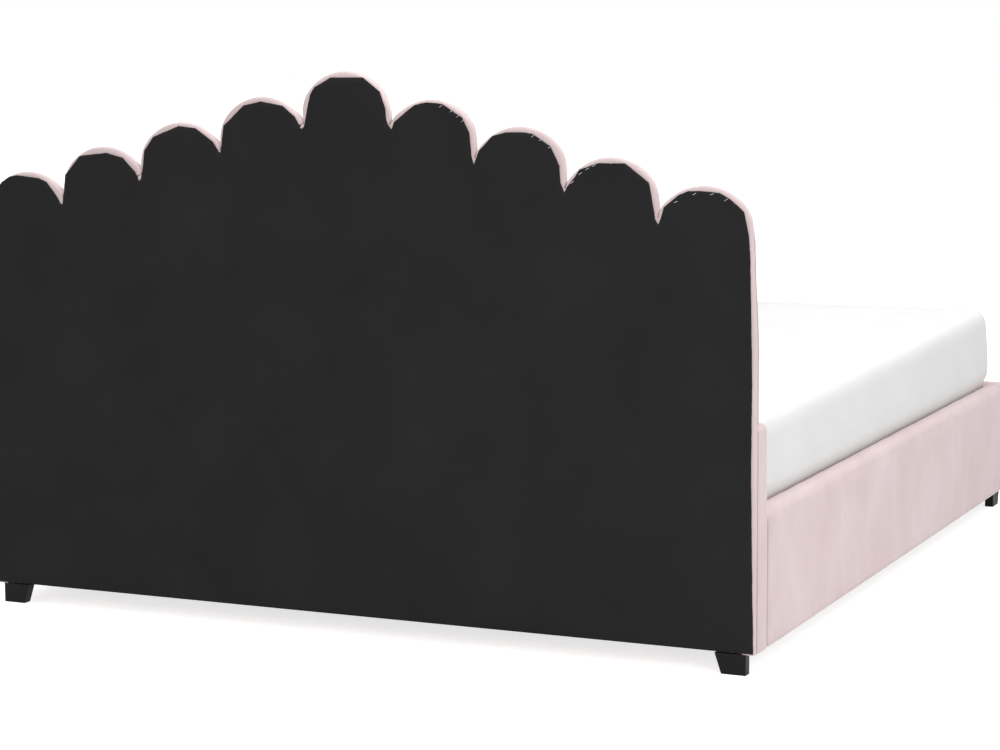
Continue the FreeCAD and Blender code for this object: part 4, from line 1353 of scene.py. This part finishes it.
def foot_cover():
    cover_lo, cover_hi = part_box("footboard_cover")
    board_lo, board_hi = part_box("footboard_board")
    rail_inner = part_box("rail_board_right")[0].x
    strip_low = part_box("slat_caps_left")[1].z + 2 * mm
    rounds = [
        (x_axis, (-1, 1), outer_round), (z_axis, (-1, -1), inner_round), (z_axis, (1, -1), inner_round),
        (y_axis, (-1, 1), foot_corner_round), (y_axis, (1, 1), foot_corner_round),
    ]
    low = Vector((cover_lo.x + 0.5 * mm, cover_lo.y + 2 * mm, cover_lo.z - cut_spare))
    high = Vector((cover_hi.x - 0.5 * mm, cover_hi.y + cut_spare, cover_hi.z - 1 * mm))
    piece = soft_block("velvet_footboard", low, high, rounds, rail_voxel)
    mesh = piece.data
    points, normals = points_of(mesh), normals_of(mesh)
    outwards = np.clip(-normals[:, 1], 0, 1) * rail_swell
    upwards = np.clip(normals[:, 2], 0, 1) * foot_crown
    sideways = np.abs(normals[:, 0]) * 1.5 * mm
    limits = np.maximum(np.maximum(outwards, upwards), sideways) * (normals[:, 2] > -0.4)
    limits *= eased((cover_hi.y - points[:, 1]) / (8 * mm))
    swell(piece, limits, slack=0.015)
    points = points_of(mesh)
    slow = roughly(points * (1.0, 0.2, 1.0), 5.0, 47) * 0.9 * mm
    points[:, 1] -= np.clip(-normals[:, 1], 0, 1) * slow
    set_points(mesh, points)
    subdivided(piece)
    board_low = (board_lo.x - room_gap, board_lo.y - room_gap, board_lo.z - room_gap)
    board_high = (board_hi.x + room_gap, board_hi.y + room_gap, board_hi.z + room_gap)
    bare = ((-rail_inner, board_hi.y - 2 * mm, 0), (rail_inner, cover_hi.y + past, strip_low))
    inner = ((-1.1, cover_hi.y - 0.2 * mm, -0.1), (1.1, cover_hi.y + 0.1, 1.0))
    below = ((-1.1, cover_lo.y - 0.1, -0.1), (1.1, cover_hi.y + 0.1, cover_lo.z))
    cut_room(piece, (board_low, board_high), bare, inner, below)
    declare(piece, "footboard_cover", "frame")
    return piece


foot_piece = foot_cover()
print("footboard:", len(foot_piece.data.polygons), "faces")

# %% [markdown]
# ## The mattress
# A plain sprung mattress in white ticking, with soft rounded edges and no piping. It lies between the rails
# with a finger's gap, so below their top it is held straight, and above it the sides belly out over them.
# Its top is crowned.

# %% Mattress
mattress_lo, mattress_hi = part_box("mattress")
mattress_voxel = 18 * mm
mattress_corner = 20 * mm
mattress_edge = 7 * mm
mattress_crown = 14 * mm
mattress_belly = 32 * mm
mattress_upper_belly = 18 * mm
mattress_droop = 18 * mm


def mattress_piece():
    rail_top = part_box("rail_cover_left")[1].z
    rounds = [(z_axis, (a, b), mattress_corner) for a in (-1, 1) for b in (-1, 1)]
    low = Vector(mattress_lo) + Vector((2, 2, 2)) * mm
    high = Vector(mattress_hi) - Vector((2, 2, 5)) * mm
    piece = soft_block("sprung_mattress", low, high, rounds, mattress_voxel)
    mesh = piece.data
    points, normals = points_of(mesh), normals_of(mesh)
    at_foot = eased((mattress_lo.y + 60 * mm - points[:, 1]) / (50 * mm))
    above = eased((points[:, 2] - rail_top - 7 * mm - 5 * mm * at_foot) / (18 * mm))
    higher = eased((points[:, 2] - rail_top - 40 * mm) / (150 * mm))
    bulge = 1.5 * mm + mattress_belly * above - (mattress_belly - mattress_upper_belly) * higher
    sideways = np.hypot(normals[:, 0], normals[:, 1]) * bulge
    sideways *= np.where(points[:, 1] > mattress_hi.y - 30 * mm, 0.25, 1.0)
    upwards = np.clip(normals[:, 2], 0, 1) * mattress_crown
    limits = np.maximum(sideways, upwards) * (normals[:, 2] > -0.5)
    swell(piece, limits, slack=0.0)
    points = points_of(mesh)
    top = eased((points[:, 2] - rail_top) / (120 * mm))
    middle_z = (mattress_lo.z + mattress_hi.z) / 2
    from_side = np.minimum(np.minimum(points[:, 0] - mattress_lo.x, mattress_hi.x - points[:, 0]),
                           np.minimum(points[:, 1] - mattress_lo.y, mattress_hi.y - points[:, 1]))
    near_edge = 1 - eased((from_side + 34 * mm) / (50 * mm))
    near_top = np.clip((points[:, 2] - middle_z) / 0.125, 0, 1) ** 4
    points[:, 2] -= near_edge * near_top * mattress_edge
    points[:, 2] -= (points[:, 1] - 0.1) * mattress_droop * top
    set_points(mesh, points)
    piece.data.materials.clear()
    piece.data.materials.append(ticking)
    subdivided(piece)
    # Painted shade: points whose surface faces sideways are marked to be painted greyer than the top.
    sloped = np.hypot(*normals_of(piece.data)[:, :2].T)
    give(piece.data, "border", eased((sloped - 0.62) / 0.16))
    declare(piece, "mattress", "mattress")
    return piece


mattress = mattress_piece()
print("mattress:", len(mattress.data.polygons), "faces")

# %% [markdown]
# ## The tapes behind the seams
# Where two channels meet, the velvet of both is sewn to a tape of the same cloth, and the tape is stapled to
# the board. It is what shows deep in a seam, instead of bare wood. It ends at the foot of the crease above.
# One more tape runs across under the channels, where they are sewn to the cover of the box.

# %% Seam tapes
tape_width = 26 * mm
tape_thickness = 0.8 * mm


def tape_faces(first, sections):
    """The faces of a tape whose sections have four corners each, counted from the first."""
    faces = []
    for corner in range(first, first + 4 * (sections - 1), 4):
        for side in range(4):
            a, b = corner + side, corner + (side + 1) % 4
            faces.append((a, b, b + 4, a + 4))
    last = first + 4 * (sections - 1)
    faces.append(tuple(first + side for side in (3, 2, 1, 0)))
    faces.append(tuple(last + side for side in range(4)))
    return faces


def seam_tapes():
    front = channel_rear + 0.2 * mm
    profile = ((-0.5, 0), (0.5, 0), (0.5, -tape_thickness), (-0.5, -tape_thickness))
    points, faces = [], []
    for gap in range(lobe_count - 1):
        heights = np.linspace(channel_low + 5 * mm, crease_foot(gap)[1], 40)
        faces += tape_faces(len(points), len(heights))
        for z, x in zip(heights, seam_at(gap, heights)):
            points += [(x + across * tape_width, front + y, z) for across, y in profile]
    faces += tape_faces(len(points), 2)
    for x in (wrap_lo.x + 2 * mm, wrap_hi.x - 2 * mm):
        points += [(x, front + y, channel_low + across * tape_width) for across, y in profile]
    shape = bmesh.new()
    corners = [shape.verts.new(point) for point in points]
    for face in faces:
        shape.faces.new([corners[i] for i in face])
    bmesh.ops.recalc_face_normals(shape, faces=shape.faces)
    mesh = mesh_from(shape, "seam_tapes")
    # Painted shade: the whole tape is painted dark pink, for the shade deep in the seams.
    give(mesh, "fold", np.full(len(points), 0.6))
    piece = new_piece("seam_tapes", mesh, velvet, smooth=False)
    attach(piece, "frame")
    return piece


tapes = seam_tapes()
print("tapes:", len(tapes.data.polygons), "faces")

# %% [markdown]
# ## Staples
# A staple gun holds all this cloth. Most of the staples on the back are hidden under the black cloth's
# turned edge, but over four of the lobes some came through on top and catch the light. More run in rows
# along the undersides, where the velvet is turned in. One geometry-nodes tree sets a small bent wire on
# every point it is given, each a little askew from a fixed seed, and the points come from the shapes that
# the staples hold.

# %% Helpers for both trees


def start_tree(name, **sockets):
    """A new geometry-nodes tree that takes points, a material and what else it is told."""
    tree = bpy.data.node_groups.new(name, "GeometryNodeTree")
    tree.interface.new_socket("Geometry", in_out="OUTPUT", socket_type="NodeSocketGeometry")
    for socket, kind in {"Geometry": "Geometry", **sockets, "Material": "Material"}.items():
        label = socket.replace("_", " ")
        tree.interface.new_socket(label, in_out="INPUT", socket_type="NodeSocket" + kind)
    return tree, tree.nodes.new("NodeGroupInput").outputs


def carried(tree, name):
    """Three numbers that each point carries under a name."""
    node = add(tree, "GeometryNodeInputNamedAttribute", {"data_type": "FLOAT_VECTOR"}, Name=name)
    return node.outputs["Attribute"]


def joined(tree, *parts):
    node = add(tree, "GeometryNodeJoinGeometry")
    for part in parts:
        feed(tree, node.inputs[0], part)
    return node.outputs[0]


def on_points(tree, points, shape, **more):
    """Sets a shape on each point, turned as the point says."""
    turn = add(tree, "FunctionNodeEulerToRotation", Euler=carried(tree, "turn")).outputs[0]
    node = add(tree, "GeometryNodeInstanceOnPoints", Points=points, Instance=shape, Rotation=turn, **more)
    return node.outputs[0]


def end_tree(tree, shapes, material):
    """Turns what was set on points into plain mesh with a material."""
    real = add(tree, "GeometryNodeRealizeInstances", Geometry=shapes).outputs[0]
    painted = add(tree, "GeometryNodeSetMaterial", Geometry=real, Material=material).outputs[0]
    add(tree, "NodeGroupOutput", Geometry=painted)
    return tree


def run_tree(name, tree, slot, places, vectors, **values):
    """Runs a tree on a point at each place, and gives the plain mesh; vectors are what the points carry."""
    points = bpy.data.meshes.new(name)
    points.from_pydata([tuple(place) for place in places], [], [])
    for label, rows in vectors.items():
        attribute = points.attributes.new(label, "FLOAT_VECTOR", "POINT")
        attribute.data.foreach_set("vector", np.array(rows, dtype=np.float32).ravel())
    piece = bpy.data.objects.new(name, points)
    scene.collection.objects.link(piece)
    modifier = piece.modifiers.new(name, "NODES")
    modifier.node_group = tree
    values["Material"] = finishes[slot]
    for socket in tree.interface.items_tree:
        label = socket.name.replace(" ", "_")
        if socket.in_out == "INPUT" and label in values:
            modifier[socket.identifier] = values[label]
    return made_plain(piece)


# %% The staple tree
staple_crown = 8 * mm
staple_wire = 0.9 * mm


def staple_tree():
    tree, given = start_tree("staples", Crown="Float", Wire="Float", Askew="Float", Seed="Int")
    leg = maths(tree, "MULTIPLY", given["Wire"], 2.0)
    low = maths(tree, "MULTIPLY", given["Wire"], -0.9)

    def bar(length, height, **offset):
        size = add(tree, "ShaderNodeCombineXYZ", X=length, Y=given["Wire"], Z=height).outputs[0]
        cube = add(tree, "GeometryNodeMeshCube", Size=size).outputs["Mesh"]
        move = add(tree, "ShaderNodeCombineXYZ", **offset).outputs[0]
        return add(tree, "GeometryNodeTransform", Geometry=cube, Translation=move).outputs[0]

    def half_crown(side):
        return maths(tree, "MULTIPLY", given["Crown"], side)

    wire = joined(tree, bar(given["Crown"], given["Wire"]),
                  *[bar(given["Wire"], leg, X=half_crown(side), Z=low) for side in (-0.5, 0.5)])
    chance = add(tree, "FunctionNodeRandomValue", {"data_type": "FLOAT"}, Seed=given["Seed"])
    feed(tree, chance.inputs[2], maths(tree, "MULTIPLY", given["Askew"], -1.0))
    feed(tree, chance.inputs[3], given["Askew"])
    spin = add(tree, "ShaderNodeCombineXYZ", Z=chance.outputs[1]).outputs[0]
    placed = on_points(tree, given["Geometry"], wire)
    askew = add(tree, "GeometryNodeRotateInstances", Instances=placed, Rotation=spin).outputs[0]
    return end_tree(tree, askew, given["Material"])


staples = staple_tree()


def set_staples(name, places, turns, seed, askew):
    """Sets a staple at each place, turned by its own three angles."""
    piece = run_tree(name, staples, "zinc_steel", places, {"turn": turns}, Crown=staple_crown,
                     Wire=staple_wire, Askew=askew, Seed=seed)
    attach(piece, "frame")
    print(name, "has", len(places), "staples and", len(piece.data.polygons), "faces")
    return piece


# %% Where the staples go
staple_inset = 10 * mm
back_staples = {3: (76, 61, 51, 43), 2: (72, 61, 47), 1: (143, 129, 119, 110, 87), 0: (125, 101, 80, 62)}
quarter = math.pi / 2


def cloth_surface(x, z):
    """Y of the black cloth's outer face at a point of the back."""
    found = cloth_tree.ray_cast(Vector((x, back_face + 50 * mm, z)), Vector((0, -1, 0)))[0]
    return found.y if found else cloth_lie


def back_places():
    places, turns = [], []
    for index, degrees in back_staples.items():
        x, z = lobe_middle(index)
        for degree in degrees:
            angle = math.radians(180 - degree)
            reach = lobe_radius - staple_inset
            px, pz = x + reach * math.cos(angle), z + reach * math.sin(angle)
            places.append((px, cloth_surface(px, pz) + 0.3 * staple_wire, pz))
            turns.append((-quarter, 0.45, 0))
    return places, turns


def under_places():
    """Rows under the rails, the footboard and the box."""
    places, turns = [], []
    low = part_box("rail_cover_left")[0].z - 0.2 * staple_wire
    rail_x = (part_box("rail_cover_right")[1].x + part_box("rail_board_right")[0].x) / 2
    rail_low, rail_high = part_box("rail_board_right")[0].y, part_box("rail_board_right")[1].y
    for side in (-1, 1):
        for y in np.arange(rail_low + 40 * mm, rail_high - 30 * mm, 55 * mm):
            places.append((side * (rail_x + 4 * mm), y, low))
            turns.append((2 * quarter, 0, quarter))
    board_low, board_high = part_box("footboard_board")
    for x in np.arange(board_low.x + 100 * mm, board_high.x - 90 * mm, 55 * mm):
        places.append((x, board_low.y - 6 * mm, low))
        turns.append((2 * quarter, 0, 0))
        places.append((x, panel_lo.y - 6 * mm, low))
        turns.append((2 * quarter, 0, 0))
    return places, turns


cloth_points = [vert.co for vert in back_cover.data.vertices]
cloth_tree = BVHTree.FromPolygons(cloth_points, [tuple(face.vertices) for face in back_cover.data.polygons])
set_staples("staples_back", *back_places(), 3, 0.25)
set_staples("staples_under", *under_places(), 5, 0.12)

# %% [markdown]
# ## Screws and bolts
# The frame already has every screw and bolt at its true place and length, as plain turned shapes. Seen close
# up, a real one has a socket for the key and a chamfer round its head. So each is made again on its own
# place: the places, directions and sizes are read from the frame's shapes, and one geometry-nodes tree sets
# a head and a shank there.

# %% Where the screws are


def loose_parts(node):
    """The points of each separate solid in a frame node."""
    source = frame["nodes"][node]
    shape = bmesh.new()
    shape.from_mesh(source.data)
    shape.transform(source.matrix_world)
    bmesh.ops.remove_doubles(shape, verts=shape.verts, dist=0.01 * mm)
    found, parts = set(), []
    for first in shape.verts:
        if first in found:
            continue
        found.add(first)
        queue, part = [first], []
        while queue:
            vert = queue.pop()
            part.append(tuple(vert.co))
            for link in vert.link_edges:
                other = link.other_vert(vert)
                if other not in found:
                    found.add(other)
                    queue.append(other)
        parts.append(np.array(part))
    shape.free()
    return parts


def read_screw(points):
    """The middle of the underside of a screw's head, its outward direction, and its sizes."""
    low, high = points.min(axis=0), points.max(axis=0)
    axis = int(np.argmax(high - low))
    middle = (low + high) / 2
    from_axis = np.linalg.norm(np.delete(points - middle, axis, axis=1), axis=1)
    rim = points[from_axis > 0.9 * from_axis.max(), axis]
    way = 1 if rim.mean() > middle[axis] else -1
    end, tip = (high[axis], low[axis]) if way > 0 else (low[axis], high[axis])
    head = float(np.ptp(rim))
    inner = from_axis[np.abs(points[:, axis] - tip) < 0.5 * mm]
    under = np.array(middle)
    under[axis] = end - way * head
    direction = Vector((0, 0, 0))
    direction[axis] = way
    turn = direction.to_track_quat("Z", "Y").to_euler()
    return under, turn, float(from_axis.max()), head, float(inner.max()), abs(under[axis] - tip)


# %% The screw tree
screw_sides = 18
shank_sides = 12
socket_share = 0.6


def screw_tree():
    tree, given = start_tree("screws", Head_radius="Float", Head_height="Float", Shank_radius="Float",
                             Socket_depth="Float")

    def pushed(mesh, socket, share, **chosen):
        by = maths(tree, "MULTIPLY", given[socket], share)
        node = add(tree, "GeometryNodeExtrudeMesh", {"mode": "FACES"}, Mesh=mesh, Offset_Scale=by, **chosen)
        return node.outputs["Mesh"], node.outputs["Top"]

    def narrowed(mesh, chosen, scale):
        return add(tree, "GeometryNodeScaleElements", Geometry=mesh, Selection=chosen, Scale=scale).outputs[0]

    disc = add(tree, "GeometryNodeMeshCircle", {"fill_type": "NGON"}, Vertices=screw_sides,
               Radius=given["Head radius"]).outputs[0]
    side, top = pushed(disc, "Head height", 0.8)
    chamfer, top = pushed(side, "Head height", 0.2, Selection=top)
    face, top = pushed(narrowed(chamfer, top, 0.9), "Head height", 0.0, Selection=top)
    socket, top = pushed(narrowed(face, top, 0.55), "Socket depth", -1.0, Selection=top)
    under = add(tree, "GeometryNodeFlipFaces", Mesh=disc).outputs[0]
    head = add(tree, "GeometryNodeMergeByDistance", Geometry=joined(tree, socket, under), Distance=0.01 * mm)
    rod = add(tree, "GeometryNodeMeshCylinder", Vertices=shank_sides, Radius=given["Shank radius"], Depth=1.0)
    shank = add(tree, "GeometryNodeTransform", Geometry=rod.outputs["Mesh"], Translation=(0, 0, -0.5))
    points = given["Geometry"]
    heads = on_points(tree, points, head.outputs[0])
    shanks = on_points(tree, points, shank.outputs[0], Scale=carried(tree, "stretch"))
    return end_tree(tree, joined(tree, heads, shanks), given["Material"])


def set_screws(node, slot):
    """Makes the screws of one frame node again, with heads that have a socket."""
    screws = [read_screw(part) for part in loose_parts(node)]
    unders, turns, head_radii, head_heights, shank_radii, lengths = zip(*screws)
    vectors = {"turn": [tuple(turn) for turn in turns], "stretch": [(1, 1, length) for length in lengths]}
    piece = run_tree(node + "_turned", screws_tree, slot, unders, vectors, Head_radius=head_radii[0],
                     Head_height=head_heights[0], Shank_radius=shank_radii[0],
                     Socket_depth=socket_share * head_heights[0])
    stands_for(piece, node, "frame")
    sizes = [round(value / mm, 1) for value in screws[0][2:]]
    print(node, "has", len(screws), "with head and shank", sizes, "and", len(piece.data.polygons), "faces")
    return piece


screws_tree = screw_tree()
slot_of = {part["node"]: part["material_slot"] for part in frame["record"]["subparts"]}
for kind in ("corner_bolts", "bracket_screws", "ledge_screws", "hanger_screws", "headboard_screws",
             "leg_screws", "centre_leg_screws"):
    set_screws(kind, slot_of[kind])
